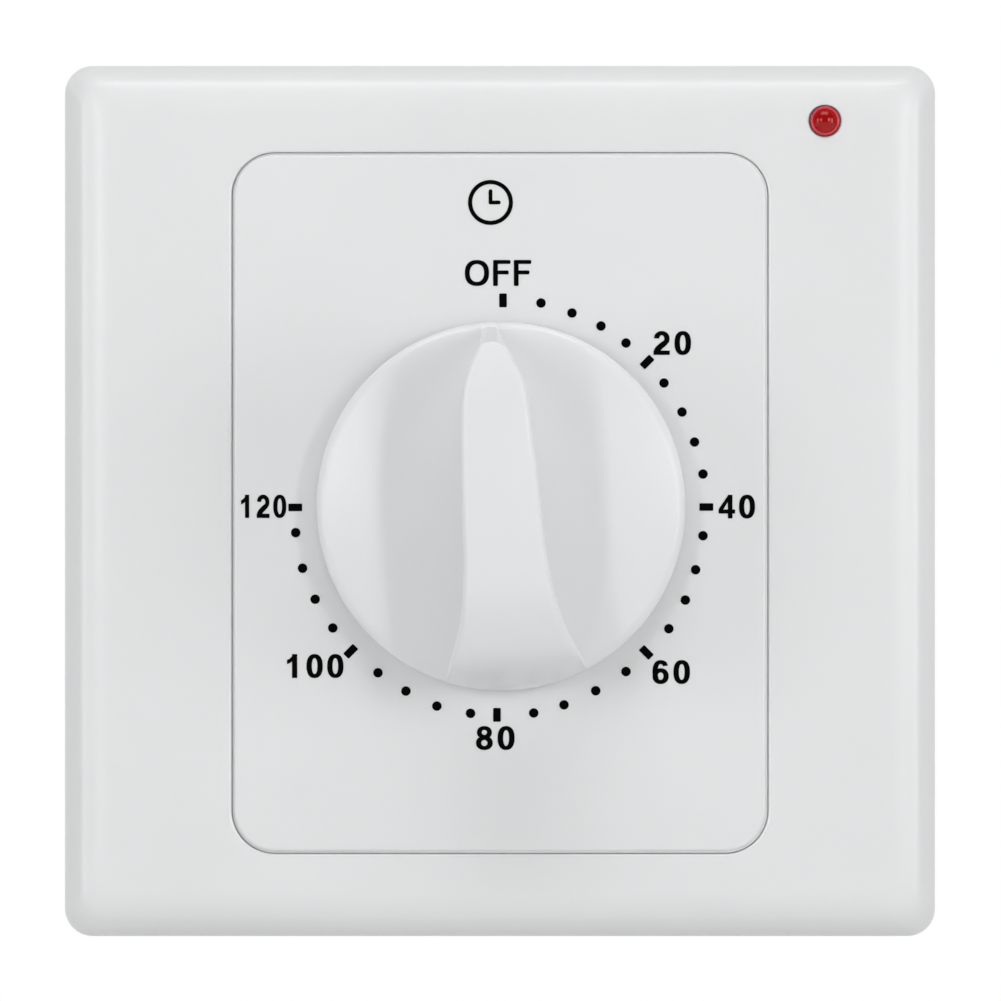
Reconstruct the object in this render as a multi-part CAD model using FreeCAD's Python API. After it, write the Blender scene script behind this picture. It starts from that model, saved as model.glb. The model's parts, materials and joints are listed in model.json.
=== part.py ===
"""Spring-wound countdown timer switch for an 86 mm wall box.

Plate coordinates are used below: x to the right, y up and z out of the wall,
with z = 0 on the wall. Each piece is turned at the end so that the dial faces
-Y and +Z is up. Lengths are in millimetres.
"""
import FreeCAD
import Part
import math
import os

V = FreeCAD.Vector

# cover and dial plate
PLATE = 86.0
PLATE_CORNER = 2.8
COVER_BACK = 0.3
COVER_FRONT = 8.5
COVER_WALL = 2.0
COVER_INNER = PLATE - 2 * COVER_WALL
COVER_WALL_FRONT = 6.4
ROLL_START = 4.1
ROLL_RADIUS = 4.46
CREASE_Z = 7.75
CROWN_RADIUS = 6.78
DIAL_SIDE = 16.6
DIAL_END = 8.45
DIAL_W = PLATE - 2 * DIAL_SIDE
DIAL_H = PLATE - 2 * DIAL_END
DIAL_CORNER = 4.0
DIAL_Y = -0.2
DIAL_FRONT = 8.7
DIAL_GAP = 0.25
LAMP_X = PLATE / 2 - 10.9
LAMP_Y = PLATE / 2 - 5.5

# knob
AXIS_X = 0.1
AXIS_Y = -0.5
KNOB_R = 18.1
KNOB_BACK = 9.1
KNOB_DISC = 12.2
KNOB_TOP = 26.0
POINTER_TILT = 4.07
SCOOP_X = 11.3
SCOOP_FLOOR = 11.1
SHAFT_R = 3.0
SHAFT_FLAT = 2.3

# base plate and housing
BASE = PLATE - 5.0
BASE_T = 2.2
SLOT_X = 30.15
SLOT_R = 2.1
SLOT_LENGTH = 8.0
HOUSE_X = 25.5
HOUSE_TOP = 24.0
HOUSE_BOTTOM = -30.0
HOUSE_BACK = -34.0
HOUSE_WALL = 1.8
BOSSES = ((-22.0, 20.9), (22.0, 20.9), (-22.1, -25.6), (22.1, -25.6))
PIN_X = DIAL_W / 2 - 4.4
PIN_TOP = DIAL_H / 2 - 4.55
PIN_LOW = -DIAL_H / 2 + 3.55
DIAL_PINS = ((-PIN_X, PIN_TOP), (PIN_X, PIN_TOP), (-PIN_X, PIN_LOW), (PIN_X, PIN_LOW))

# movement
FRONT_PLATE = (-1.6, -0.1)
REAR_PLATE = (-19.3, -17.8)
PLATE_X = 22.4
PLATE_TOP = 17.5
PLATE_BOTTOM = -26.6
PILLARS = ((-19.5, 14.8), (19.5, 14.8), (-19.3, -19.8), (20.4, -3.0))
PIVOT_R = 0.5
ARBOR_R = 0.6
WHEEL_TEETH = 48
PINION_LEAVES = 6

# axis directions from one arbor to the next, degrees, with the tooth module
STAGES = ((-54.0, 0.5), (190.0, 0.45), (140.0, 0.4), (95.0, 0.36))
# z spans of the four wheels, main wheel first
WHEEL_Z = ((-10.8, -9.6), (-14.4, -13.4), (-16.2, -15.4), (-12.5, -11.8))
ESCAPE_Z = (-14.8, -14.0)
ESCAPE_TEETH = 12
ESCAPE_R = 5.0
PALLET_SPAN = 37.5
PALLET_PIN_R = 0.25
PALLET_GAP = 0.1
ANCHOR_DIRECTION = 70.0

# switch
CAM_Z = (-25.5, -21.5)
CAM_R = 4.6
CAM_LOBE = 7.0
TERMINAL_X = (-14.0, 0.0, 14.0)
TERMINAL_SCREW_Y = -19.5
WIRE_Z = -27.0
WIRE_R = 2.1


def polar(origin, radius, degrees):
    """Point at a radius and direction from an origin in the plate plane."""
    angle = math.radians(degrees)
    return (origin[0] + radius * math.cos(angle), origin[1] + radius * math.sin(angle))


def arbor_centres():
    """Centres of the main arbor and of the four arbors that follow it."""
    centres = [(AXIS_X, AXIS_Y)]
    for direction, module in STAGES:
        distance = module * (WHEEL_TEETH + PINION_LEAVES) / 2
        centres.append(polar(centres[-1], distance, direction))
    return centres


CENTRES = arbor_centres()
PALLET_R = ESCAPE_R + PALLET_GAP + PALLET_PIN_R
ANCHOR_DISTANCE = PALLET_R / math.cos(math.radians(PALLET_SPAN))
ANCHOR = polar(CENTRES[4], ANCHOR_DISTANCE, ANCHOR_DIRECTION)


def box(x0, x1, y0, y1, z0, z1):
    return Part.makeBox(x1 - x0, y1 - y0, z1 - z0, V(x0, y0, z0))


def cyl(centre, radius, z0, z1):
    return Part.makeCylinder(radius, z1 - z0, V(centre[0], centre[1], z0))


def ngon(centre, radius, sides, turn=0.0):
    return [polar(centre, radius, turn + 360 * k / sides) for k in range(sides)]


def post(centre, radius, z0, z1, sides=8, turn=0.0):
    """Post or hole with flats, used for small and hidden features."""
    return prism(ngon(centre, radius, sides, turn), z0, z1)


def tube(centre, inner, outer, z0, z1):
    return cyl(centre, outer, z0, z1).cut(cyl(centre, inner, z0 - 1, z1 + 1))


def bar_y(x, z, radius, y0, y1):
    return Part.makeCylinder(radius, y1 - y0, V(x, y0, z), V(0, 1, 0))


def rounded_wire(width, height, radius, z, cx=0.0, cy=0.0):
    """Rounded rectangle as four lines and four arcs."""
    hx = width / 2
    hy = height / 2
    edges = []
    corners = ((1, 1, 0), (-1, 1, 90), (-1, -1, 180), (1, -1, 270))
    ends = []
    for sx, sy, start in corners:
        ox = cx + sx * (hx - radius)
        oy = cy + sy * (hy - radius)
        points = []
        for step in (0, 45, 90):
            x, y = polar((ox, oy), radius, start + step)
            points.append(V(x, y, z))
        ends.append(points)
    for index, points in enumerate(ends):
        edges.append(Part.Arc(*points).toShape())
        following = ends[(index + 1) % 4]
        edges.append(Part.makeLine(points[2], following[0]))
    return Part.Wire(edges)


def rounded(width, height, radius, z0, z1, cx=0.0, cy=0.0):
    face = Part.Face(rounded_wire(width, height, radius, z0, cx, cy))
    return face.extrude(V(0, 0, z1 - z0))


def prism(points, z0, z1):
    """Extruded outline given as (x, y) points."""
    corners = [V(x, y, z0) for x, y in points]
    corners.append(corners[0])
    return Part.Face(Part.makePolygon(corners)).extrude(V(0, 0, z1 - z0))


def fuse_all(shapes):
    result = shapes[0].fuse(shapes[1:])
    return result.removeSplitter()


def edges_where(shape, test):
    return [edge for edge in shape.Edges if test(edge.BoundBox)]


def flat_at(z):
    """Test for edges that lie in the plane at height z."""
    return lambda b: abs(b.ZMin - z) < 1e-4 and abs(b.ZMax - z) < 1e-4


def screw(centre, head_r, head_h, shank_r, length, seat):
    """Slotted cheese-head screw driven along -z with its head seated at z = seat."""
    head = post(centre, head_r, seat, seat + head_h, 10)
    groove = box(
        centre[0] - head_r, centre[0] + head_r, centre[1] - 0.25, centre[1] + 0.25,
        seat + head_h * 0.5, seat + head_h + 1,
    )
    shank = post(centre, shank_r, seat - length, seat, 6)
    return head.cut(groove).fuse(shank).removeSplitter()


def cover_sections():
    """Half widths and heights of the rolled cover edge, wall to crease to face."""
    roll = []
    crease = math.asin((CREASE_Z - ROLL_START) / ROLL_RADIUS)
    for step in range(4):
        angle = crease * step / 3
        drop = ROLL_RADIUS * (1 - math.cos(angle))
        roll.append((PLATE / 2 - drop, ROLL_START + ROLL_RADIUS * math.sin(angle)))
    crown = []
    rise = COVER_FRONT - CREASE_Z
    half = roll[-1][0]
    sweep = math.acos(1 - rise / CROWN_RADIUS)
    inner = half - CROWN_RADIUS * math.sin(sweep)
    for step in range(3):
        angle = sweep * (1 - step / 2)
        crown.append(
            (inner + CROWN_RADIUS * math.sin(angle),
             COVER_FRONT - CROWN_RADIUS * (1 - math.cos(angle)))
        )
    return roll, crown


def lofted(sections, corner_start, corner_end):
    wires = []
    last = len(sections) - 1
    for index, (half, z) in enumerate(sections):
        corner = corner_start + (corner_end - corner_start) * index / last
        wires.append(rounded_wire(2 * half, 2 * half, corner, z))
    return Part.makeLoft(wires, True, True)


def cover_frame():
    roll, crown = cover_sections()
    body = rounded(PLATE, PLATE, PLATE_CORNER, COVER_BACK, ROLL_START)
    body = body.fuse(lofted(roll, PLATE_CORNER, 2.4))
    body = body.fuse(lofted(crown, 2.4, 2.2))
    hollow = rounded(COVER_INNER, COVER_INNER, 1.6, COVER_BACK - 1, COVER_WALL_FRONT)
    body = body.cut(hollow)
    window = rounded(
        DIAL_W + 2 * DIAL_GAP, DIAL_H + 2 * DIAL_GAP, DIAL_CORNER + DIAL_GAP,
        COVER_WALL_FRONT - 1, COVER_FRONT + 1, 0, DIAL_Y,
    )
    body = body.cut(window)
    lips = edges_where(
        body,
        lambda b: flat_at(COVER_FRONT)(b) and max(abs(b.XMin), abs(b.XMax)) < DIAL_W / 2 + 1,
    )
    body = body.makeChamfer(0.25, lips)
    body = body.cut(cyl((LAMP_X, LAMP_Y), 1.62, 5, 9))
    for side in (-1, 1):
        for x in (-17.0, 17.0):
            y0, y1 = sorted((side * (COVER_INNER / 2 - 1.0), side * (COVER_INNER / 2 + 0.2)))
            body = body.fuse(box(x - 3, x + 3, y0, y1, 2.35, 3.0))
    for x in (8 - COVER_INNER / 2, COVER_INNER / 2 - 8):
        for side in (-1, 1):
            y0, y1 = sorted((side * (COVER_INNER / 2 - 5), side * (COVER_INNER / 2 + 0.2)))
            if x > 0 and side > 0:
                continue
            body = body.fuse(box(x - 0.6, x + 0.6, y0, y1, 4.6, 6.6))
    notch = box(-5, 5, -PLATE / 2 - 1, 0.5 - COVER_INNER / 2, 0, 1.6)
    return body.cut(notch).removeSplitter()


def dial_plate():
    plug = rounded(DIAL_W, DIAL_H, DIAL_CORNER, BASE_T, DIAL_FRONT, 0, DIAL_Y)
    plug = plug.makeChamfer(0.25, edges_where(plug, flat_at(DIAL_FRONT)))
    flange = rounded(DIAL_W + 2.8, DIAL_H + 2.8, DIAL_CORNER + 1.4, 5.1, 6.2, 0, DIAL_Y)
    hollow = rounded(DIAL_W - 3.2, DIAL_H - 3.2, DIAL_CORNER - 1.6, 1, 6.9, 0, DIAL_Y)
    body = plug.fuse(flange).cut(hollow)
    body = body.cut(cyl(CENTRES[0], 4.7, 5, 10))
    parts = [body]
    for x, y in DIAL_PINS:
        parts.append(post((x, y), 2.6, BASE_T, 7.2))
        parts.append(post((x, y), 1.4, 0.3, BASE_T + 0.5))
    body = fuse_all(parts)
    lead_notch = box(24.0, 28.0, 22.9, 25.7, 1.0, 4.9)
    return body.cut(lead_notch)


def grip_stations():
    """Distance along the grip, pointer tip first, and half width there."""
    return (
        (19.0, 0.55), (17.6, 0.62), (16.4, 0.95), (15.0, 1.55), (13.4, 2.3), (11.0, 3.02),
        (7.5, 3.38), (2.0, 3.5), (-4.8, 3.8), (-7.0, 4.1), (-9.7, 4.5), (-11.5, 4.95),
        (-13.3, 5.45), (-14.7, 5.95), (-16.0, 6.45), (-17.5, 6.85), (-19.0, 7.2),
    )


def scoop_height(across):
    """Height of the disc top at a distance from the grip's middle plane."""
    crease = KNOB_DISC + 0.3
    if across >= SCOOP_X:
        return crease - 0.5 * (across - SCOOP_X) / (24 - SCOOP_X)
    return SCOOP_FLOOR + (crease - SCOOP_FLOOR) * across / SCOOP_X


def grip_top(along):
    """Height of the grip, which rolls down towards its tail and its tip."""
    fall = max(-7.0 - along, 0.0)
    rise = max(along - 11.0, 0.0)
    return KNOB_TOP - fall ** 2 / 20.0 - rise ** 2 / 30.0


def grip_section(half, crest):
    """Half of the knob's cross section, from the outer edge up to the grip top."""
    blend = 1.6
    points = [(20.0, scoop_height(20.0)), (SCOOP_X, scoop_height(SCOOP_X))]
    floor = scoop_height(half + blend)
    for step in range(4):
        angle = math.radians(90 * step / 3)
        x = half + blend * (1 - math.sin(angle))
        z = floor + blend * (1 - math.cos(angle))
        points.append((x, z))
    points.append((half, crest - 0.4))
    points.append((max(half - 0.4, 0.1), crest))
    return points


def knob_block():
    """Grip and scooped disc lofted through cross sections along the grip."""
    wires = []
    for along, half in grip_stations():
        side = grip_section(half, grip_top(along))
        outline = side + [(-x, z) for x, z in reversed(side)]
        outline = [(20.0, KNOB_BACK)] + outline + [(-20.0, KNOB_BACK)]
        corners = [V(x, along, z) for x, z in outline]
        corners.append(corners[0])
        wires.append(Part.makePolygon(corners))
    return Part.makeLoft(wires, True, True)


def turned(points, centre, sides):
    """Faceted solid of revolution from an (r, z) outline that starts and ends at r = 0."""
    wires = []
    for r, z in points[1:-1]:
        ring = [V(x, y, z) for x, y in ngon(centre, r, sides)]
        wires.append(Part.makePolygon(ring + ring[:1]))
    return Part.makeLoft(wires, True, True)


def control_knob():
    """Round knob with a bar grip from the pointer tip to a flared tail."""
    form = turned(
        (
            (0, KNOB_BACK), (KNOB_R, KNOB_BACK), (KNOB_R, SCOOP_FLOOR - 0.3),
            (KNOB_R - 0.5, SCOOP_FLOOR + 0.1), (KNOB_R - 0.8, KNOB_DISC + 0.3),
            (KNOB_R - 2.35, KNOB_TOP - 0.9), (KNOB_R - 2.9, KNOB_TOP), (0, KNOB_TOP),
        ),
        (0, 0), 48,
    )
    body = knob_block().common(form)
    body = body.cut(prism(ngon((0, 0), 16.4, 24), KNOB_BACK - 1, KNOB_BACK + 0.9).cut(
        post((0, 0), 5.2, KNOB_BACK - 2, KNOB_BACK + 2, 12)))
    body = body.cut(grip_hollow())
    bore = cyl((0, 0), SHAFT_R + 0.05, KNOB_BACK - 1, 20.2)
    keep = box(-5, 5, SHAFT_FLAT + 0.05, 5, KNOB_BACK + 0.9, 22)
    body = body.cut(bore.cut(keep))
    body = body.cut(box(-2.0, 2.0, SHAFT_FLAT - 0.1, SHAFT_FLAT + 0.75, 11.0, 18.1))
    body.rotate(V(0, 0, 0), V(0, 0, 1), POINTER_TILT)
    body.translate(V(AXIS_X, AXIS_Y, 0))
    return body.removeSplitter()


def grip_hollow():
    """Two cored pockets under the grip, either side of the shaft socket."""
    front = prism(((-1.6, 5.4), (1.6, 5.4), (1.0, 12.6), (-1.0, 12.6)), 8, 23.6)
    back = prism(((-1.8, -5.4), (1.8, -5.4), (3.4, -13.0), (-3.4, -13.0)), 8, 22.4)
    return front.fuse(back)


def knob_spring_clip():
    """Bent leaf in the knob socket that grips the flat of the shaft."""
    y0 = SHAFT_FLAT + 0.02
    points = (
        (y0 + 0.62, 11.1), (y0 + 0.37, 11.1), (y0, 14.5), (y0 + 0.37, 18.0),
        (y0 + 0.62, 18.0), (y0 + 0.25, 14.5),
    )
    corners = [V(-1.8, y, z) for y, z in points]
    corners.append(corners[0])
    leaf = Part.Face(Part.makePolygon(corners)).extrude(V(3.6, 0, 0))
    leaf.rotate(V(0, 0, 0), V(0, 0, 1), POINTER_TILT)
    leaf.translate(V(AXIS_X, AXIS_Y, 0))
    return leaf


def indicator_lamp():
    """Domed lamp: flange behind the cover, body through the hole."""
    at = (LAMP_X, LAMP_Y)
    dome = turned(
        (
            (0, 5.0), (1.95, 5.0), (1.95, 5.95), (1.55, 6.05), (1.55, 8.6), (1.4, 8.76),
            (1.16, 8.74), (1.08, 9.2), (0.8, 9.55), (0.4, 9.75), (0, 9.8),
        ),
        at, 18,
    )
    legs = [post((LAMP_X + dx, LAMP_Y), 0.28, 3.4, 5.1, 6) for dx in (-0.65, 0.65)]
    return fuse_all([dome] + legs)


def lamp_holder():
    """Small socket on the base plate that backs the lamp flange."""
    at = (LAMP_X, LAMP_Y)
    body = post(at, 2.6, BASE_T, 4.95, 12)
    body = body.cut(post(at, 1.4, BASE_T, 6, 8))
    return body.cut(box(LAMP_X - 1.2, LAMP_X + 1.2, LAMP_Y - 4, LAMP_Y, BASE_T, 4.2))


def lead(points, radius):
    """Insulated wire with six flats and mitred corners along straight runs."""
    spine = [V(*point) for point in points]
    rings = []
    last = len(spine) - 1
    side = None
    for index, here in enumerate(spine):
        into = here.sub(spine[max(index - 1, 0)])
        out = spine[min(index + 1, last)].sub(here)
        into = (out if index == 0 else into).normalize()
        out = (into if index == last else out).normalize()
        if side is None:
            side = into.cross(V(1, 0, 0) if abs(into.x) < 0.9 else V(0, 1, 0)).normalize()
        up = into.cross(side).normalize()
        normal = into.add(out).normalize()
        ring = []
        for k in range(6):
            angle = math.radians(60 * k)
            spoke = V(side).multiply(radius * math.cos(angle))
            spoke = spoke.add(V(up).multiply(radius * math.sin(angle)))
            slide = spoke.dot(normal) / into.dot(normal)
            ring.append(here.add(spoke).sub(V(into).multiply(slide)))
        rings.append(Part.makePolygon(ring + ring[:1]))
        side = side.sub(V(out).multiply(side.dot(out)))
        if side.Length < 0.3:
            side = V(into).multiply(-1)
        side.normalize()
    return Part.makeLoft(rings, True, True)


def lead_path(side):
    """Lamp lead from the lamp leg over the base plate and down to the terminals."""
    x = LAMP_X + 0.65 * side
    drop = 17.7 + 0.85 * side
    turn = 24.3 - 0.6 * side
    path = [
        (x, LAMP_Y, 3.4), (x, LAMP_Y, 2.9), (x, turn, 2.9), (drop, turn, 2.9),
        (drop, 20.2, 2.9), (drop, 20.2, -29.2), (drop, -9.2 - 1.2 * side, -29.2),
    ]
    end = 15.0 if side > 0 else 0.6
    path.append((end, -9.2 - 1.2 * side, -29.2))
    path.append((end, -16.7, -29.2))
    return path


def lamp_lead_a():
    return lead(lead_path(1), 0.42)


def lamp_lead_b():
    return lead(lead_path(-1), 0.42)


def lamp_resistor():
    """Sleeved series resistor on one lamp lead."""
    x = LAMP_X + 0.65
    body = bar_y(x, 3.55, 1.0, 26.0, 33.0)
    return body.cut(box(x - 0.46, x + 0.46, 25.0, 34.0, 2.4, 3.4))


def mounting_plate():
    """Base plate: wall screw slots, latch tabs for the cover, holes for the rest."""
    body = rounded(BASE, BASE, 1.4, 0, BASE_T)
    for side in (-1, 1):
        half = SLOT_LENGTH / 2 - SLOT_R
        ends = [cyl((side * SLOT_X + dx, 0), SLOT_R, -1, 4) for dx in (-half, half)]
        x0 = side * SLOT_X - half
        slot = box(x0, x0 + 2 * half, -SLOT_R, SLOT_R, -1, 4)
        body = body.cut(ends[0].fuse([ends[1], slot]))
        for x in (-17.0, 17.0):
            y0, y1 = sorted((side * (BASE / 2 - 2.1), side * (BASE / 2 - 0.9)))
            body = body.fuse(box(x - 4, x + 4, y0, y1, BASE_T - 0.2, 4.6))
            y0, y1 = sorted((side * (BASE / 2 - 1.1), side * (BASE / 2 + 0.2)))
            body = body.fuse(box(x - 4, x + 4, y0, y1, 3.1, 3.9))
            y0, y1 = sorted((side * (BASE / 2 - 0.7), side * (BASE / 2 + 0.5)))
            body = body.cut(box(x - 3.4, x + 3.4, y0, y1, -1, 3.05))
    body = body.cut(cyl(CENTRES[0], 4.5, -1, 4))
    for point in DIAL_PINS:
        body = body.cut(post(point, 1.45, -1, 4))
    for point in PILLARS + BOSSES:
        body = body.cut(post(point, 1.3, -1, 4, 6))
    body = body.cut(box(15.9, 19.2, 19.4, 21.0, -1, 4))
    for side in (-1, 1):
        x = side * (BASE / 2 - 4.1)
        rib = box(x - 0.7, x + 0.7, -30, 30, BASE_T - 0.2, 4.4)
        body = body.fuse(rib)
    return body.removeSplitter()


def rear_housing():
    """Moulded box behind the base plate that holds the movement and switch."""
    height = HOUSE_TOP - HOUSE_BOTTOM
    middle = (HOUSE_TOP + HOUSE_BOTTOM) / 2
    outer = rounded(2 * HOUSE_X, height, 3.0, HOUSE_BACK, 0, 0, middle)
    outer = outer.makeChamfer(0.8, edges_where(outer, flat_at(HOUSE_BACK)))
    inner = rounded(
        2 * (HOUSE_X - HOUSE_WALL), height - 2 * HOUSE_WALL, 1.6,
        HOUSE_BACK + HOUSE_WALL, 1, 0, middle,
    )
    body = outer.cut(inner)
    for point in BOSSES:
        body = body.fuse(post(point, 2.75, HOUSE_BACK + 0.5, -0.05, 12, 15.0))
    for point in BOSSES:
        body = body.cut(post(point, 1.05, -13, 1, 6))
    for x in TERMINAL_X:
        body = body.cut(bar_y(x, WIRE_Z, WIRE_R, HOUSE_BOTTOM - 1, HOUSE_BOTTOM + 3))
        body = body.cut(post((x, TERMINAL_SCREW_Y), 2.7, HOUSE_BACK - 1, HOUSE_BACK + 3, 12))
    for x in (-8.0, -4.0, 4.0, 8.0):
        body = body.cut(box(x - 0.8, x + 0.8, 4.0, 14.0, HOUSE_BACK - 1, HOUSE_BACK + 3))
    return body.removeSplitter()


def plate_outline():
    """Movement plate outline with the lower corners clipped round the bosses."""
    return (
        (-PLATE_X, PLATE_TOP), (-PLATE_X, PLATE_BOTTOM + 5.6),
        (-PLATE_X + 5.4, PLATE_BOTTOM), (PLATE_X - 5.4, PLATE_BOTTOM),
        (PLATE_X, PLATE_BOTTOM + 5.6), (PLATE_X, PLATE_TOP),
    )


def movement_front_plate():
    body = prism(plate_outline(), *FRONT_PLATE)
    body = body.cut(cyl(CENTRES[0], 4.45, -3, 1))
    for centre in list(CENTRES[1:]) + [ANCHOR]:
        body = body.cut(post(centre, PIVOT_R + 0.06, -3, 1))
    for point in PILLARS:
        body = body.cut(post(point, 1.3, -3, 1, 6))
    return body.cut(post(spring_post_centre(), 0.6, -3, 1))


def movement_rear_plate():
    body = prism(plate_outline(), *REAR_PLATE)
    body = body.cut(cyl(CENTRES[0], 1.95, -21, -16))
    for centre in list(CENTRES[1:]) + [ANCHOR]:
        body = body.cut(post(centre, PIVOT_R + 0.06, -21, -16))
    for point in PILLARS:
        body = body.cut(post(point, 1.3, -21, -16, 6))
    for x, y, r in ((12.0, 9.0, 5.0), (-4.0, 12.5, 3.2)):
        body = body.cut(post((x, y), r, -21, -16, 12))
    return body


def movement_pillars():
    """Four turned pillars between the movement plates, tapped at both ends."""
    solids = []
    for point in PILLARS:
        item = post(point, 2.0, REAR_PLATE[1], FRONT_PLATE[0])
        item = item.cut(post(point, 1.05, FRONT_PLATE[0] - 6, 0, 6))
        item = item.cut(post(point, 1.05, REAR_PLATE[1] - 1, REAR_PLATE[1] + 5, 6))
        solids.append(item)
    return Part.makeCompound(solids)


def movement_screws():
    solids = [screw(point, 2.1, 1.2, 1.0, 9.3, BASE_T) for point in PILLARS]
    return Part.makeCompound(solids)


def rear_plate_screws():
    solids = []
    for point in PILLARS:
        item = screw(point, 1.9, 1.0, 1.0, 5.6, 0.0)
        item.rotate(V(point[0], point[1], 0), V(1, 0, 0), 180)
        item.translate(V(0, 0, REAR_PLATE[0]))
        solids.append(item)
    return Part.makeCompound(solids)


def housing_screws():
    solids = [screw(point, 2.1, 1.2, 1.0, 10.0, BASE_T) for point in BOSSES]
    return Part.makeCompound(solids)


def arbor_bush():
    """Brass bush in the front plate that carries the knob shaft."""
    return tube(CENTRES[0], SHAFT_R + 0.04, 4.4, -1.7, 7.6)


def main_arbor():
    """Stepped shaft from the knob through the movement to the switch cam."""
    top = cyl(CENTRES[0], SHAFT_R, -2.4, 19.4)
    top = top.makeChamfer(0.4, edges_where(top, flat_at(19.4)))
    flat = box(-5, 5, SHAFT_FLAT, 5, KNOB_BACK + 0.7, 20)
    flat.rotate(V(0, 0, 0), V(0, 0, 1), POINTER_TILT)
    flat.translate(V(AXIS_X, AXIS_Y, 0))
    top = top.cut(flat)
    pieces = [
        top,
        post(CENTRES[0], 3.9, -2.4, -1.75, 12),
        post(CENTRES[0], 2.5, -11.6, -2.3, 12),
        post(CENTRES[0], 1.9, -26.4, -11.5, 12),
    ]
    body = fuse_all(pieces)
    tail = box(-5, 5, 1.45, 5, -27, -20.6)
    tail.translate(V(AXIS_X, AXIS_Y, 0))
    return body.cut(tail)


def spring_post_centre():
    return polar(CENTRES[0], 12.1, 45)


def mainspring():
    """Flat spiral strip from the collet to the post."""
    turns = 5.125
    inner = 4.25
    outer = 11.3
    half = 0.16
    steps = 72
    rows = ([], [])
    for step in range(steps + 1):
        t = step / steps
        radius = inner + (outer - inner) * t
        for row, offset in zip(rows, (half, -half)):
            row.append(polar(CENTRES[0], radius + offset, 360 * turns * t))
    coil = prism(rows[0] + rows[1][::-1], -8.0, -3.0)
    x, y = polar(CENTRES[0], 11.3, 45)
    at = (x + 0.57, y + 0.57)
    eye = post(at, 0.98, -8.0, -3.0).cut(post(at, 0.66, -9.0, -2.0))
    cx, cy = CENTRES[0]
    hook = box(cx + 3.7, cx + 4.4, cy - 0.16, cy + 0.16, -8.0, -3.0)
    return fuse_all([coil, eye, hook])


def spring_collet():
    """Ring pressed on the arbor with a slot for the inner end of the spring."""
    body = post(CENTRES[0], 3.95, -8.2, -2.8, 12).cut(post(CENTRES[0], 2.5, -9, -2, 12))
    cx, cy = CENTRES[0]
    return body.cut(box(cx + 3.6, cx + 5, cy - 0.2, cy + 0.2, -8.1, -2.9))


def spring_post():
    return post(spring_post_centre(), 0.6, -8.4, -0.1)


def wheel_outline(centre, teeth, module, direction):
    """Clock-wheel outline: straight root flanks and pointed, rounded-over tips."""
    pitch = teeth * module / 2
    rows = ((-1.2, 0.82), (0.95, 0.3))
    points = []
    for tooth in range(teeth):
        middle = direction + 360 * tooth / teeth
        for rise, half in rows:
            radius = pitch + rise * module
            spread = math.degrees(half * module / pitch)
            points.append(polar(centre, radius, middle - spread))
        for rise, half in reversed(rows):
            radius = pitch + rise * module
            spread = math.degrees(half * module / pitch)
            points.append(polar(centre, radius, middle + spread))
    return points


def pinion_outline(centre, module, direction):
    """Six-leaf pinion outline with narrow rounded leaves."""
    pitch = PINION_LEAVES * module / 2
    rows = ((-1.3, 0.42), (0.1, 0.48), (0.5, 0.14))
    points = []
    for leaf in range(PINION_LEAVES):
        middle = direction + 360 * leaf / PINION_LEAVES
        for rise, half in rows:
            radius = pitch + rise * module
            spread = math.degrees(math.atan2(half * module, radius))
            points.append(polar(centre, radius, middle - spread))
        for rise, half in reversed(rows):
            radius = pitch + rise * module
            spread = math.degrees(math.atan2(half * module, radius))
            points.append(polar(centre, radius, middle + spread))
    return points


def train_wheel(stage, bore, spokes=4):
    """Wheel with four windows, and a tooth that points at the next arbor."""
    centre = CENTRES[stage]
    direction, module = STAGES[stage]
    z0, z1 = WHEEL_Z[stage]
    body = prism(wheel_outline(centre, WHEEL_TEETH, module, direction), z0, z1)
    rim = WHEEL_TEETH * module / 2 - 2.6 * module
    hub = bore + 1.7
    for spoke in range(spokes):
        middle = direction + 360 * (spoke + 0.5) / spokes
        window = [polar(centre, hub, middle - 22), polar(centre, hub, middle + 22)]
        for turn in (38, 13, -13, -38):
            window.append(polar(centre, rim, middle + turn))
        body = body.cut(prism(window, z0 - 1, z1 + 1))
    return body.cut(post(centre, bore, z0 - 1, z1 + 1, 12 if bore > 1 else 8))


def train_pinion(stage):
    """Arbor with its pinion, driven by the wheel of the stage before."""
    centre = CENTRES[stage]
    direction, module = STAGES[stage - 1]
    z0, z1 = WHEEL_Z[stage - 1]
    leaf = direction + 180 + 180 / PINION_LEAVES
    outline = pinion_outline(centre, module, leaf)
    shaft = post(centre, ARBOR_R, REAR_PLATE[1] + 0.15, FRONT_PLATE[0] - 0.15)
    pivots = post(centre, PIVOT_R, REAR_PLATE[0] + 0.2, FRONT_PLATE[1] - 0.2)
    return fuse_all([prism(outline, z0 - 0.3, z1 + 0.3), shaft, pivots])


def main_wheel():
    return train_wheel(0, 2.6)


def second_wheel():
    return train_wheel(1, ARBOR_R)


def third_wheel():
    return train_wheel(2, ARBOR_R)


def fourth_wheel():
    return train_wheel(3, ARBOR_R)


def second_pinion():
    return train_pinion(1)


def third_pinion():
    return train_pinion(2)


def fourth_pinion():
    return train_pinion(3)


def escape_pinion():
    return train_pinion(4)


def escape_wheel():
    """Twelve pointed teeth; each pallet pin rests a quarter pitch from a tooth."""
    centre = CENTRES[4]
    pitch = 360 / ESCAPE_TEETH
    start = ANCHOR_DIRECTION + PALLET_SPAN - pitch / 4
    points = []
    for tooth in range(ESCAPE_TEETH):
        middle = start + pitch * tooth
        points.append(polar(centre, ESCAPE_R - 1.7, middle - 7.0))
        points.append(polar(centre, ESCAPE_R, middle - 1.2))
        points.append(polar(centre, ESCAPE_R, middle + 1.2))
        points.append(polar(centre, ESCAPE_R - 1.7, middle + 7.0))
    body = prism(points, *ESCAPE_Z)
    body = body.cut(post(centre, ARBOR_R, -16, -12))
    for hole in range(4):
        body = body.cut(post(polar(centre, 2.1, 45 + 90 * hole), 0.6, -16, -12, 6))
    return body


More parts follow.
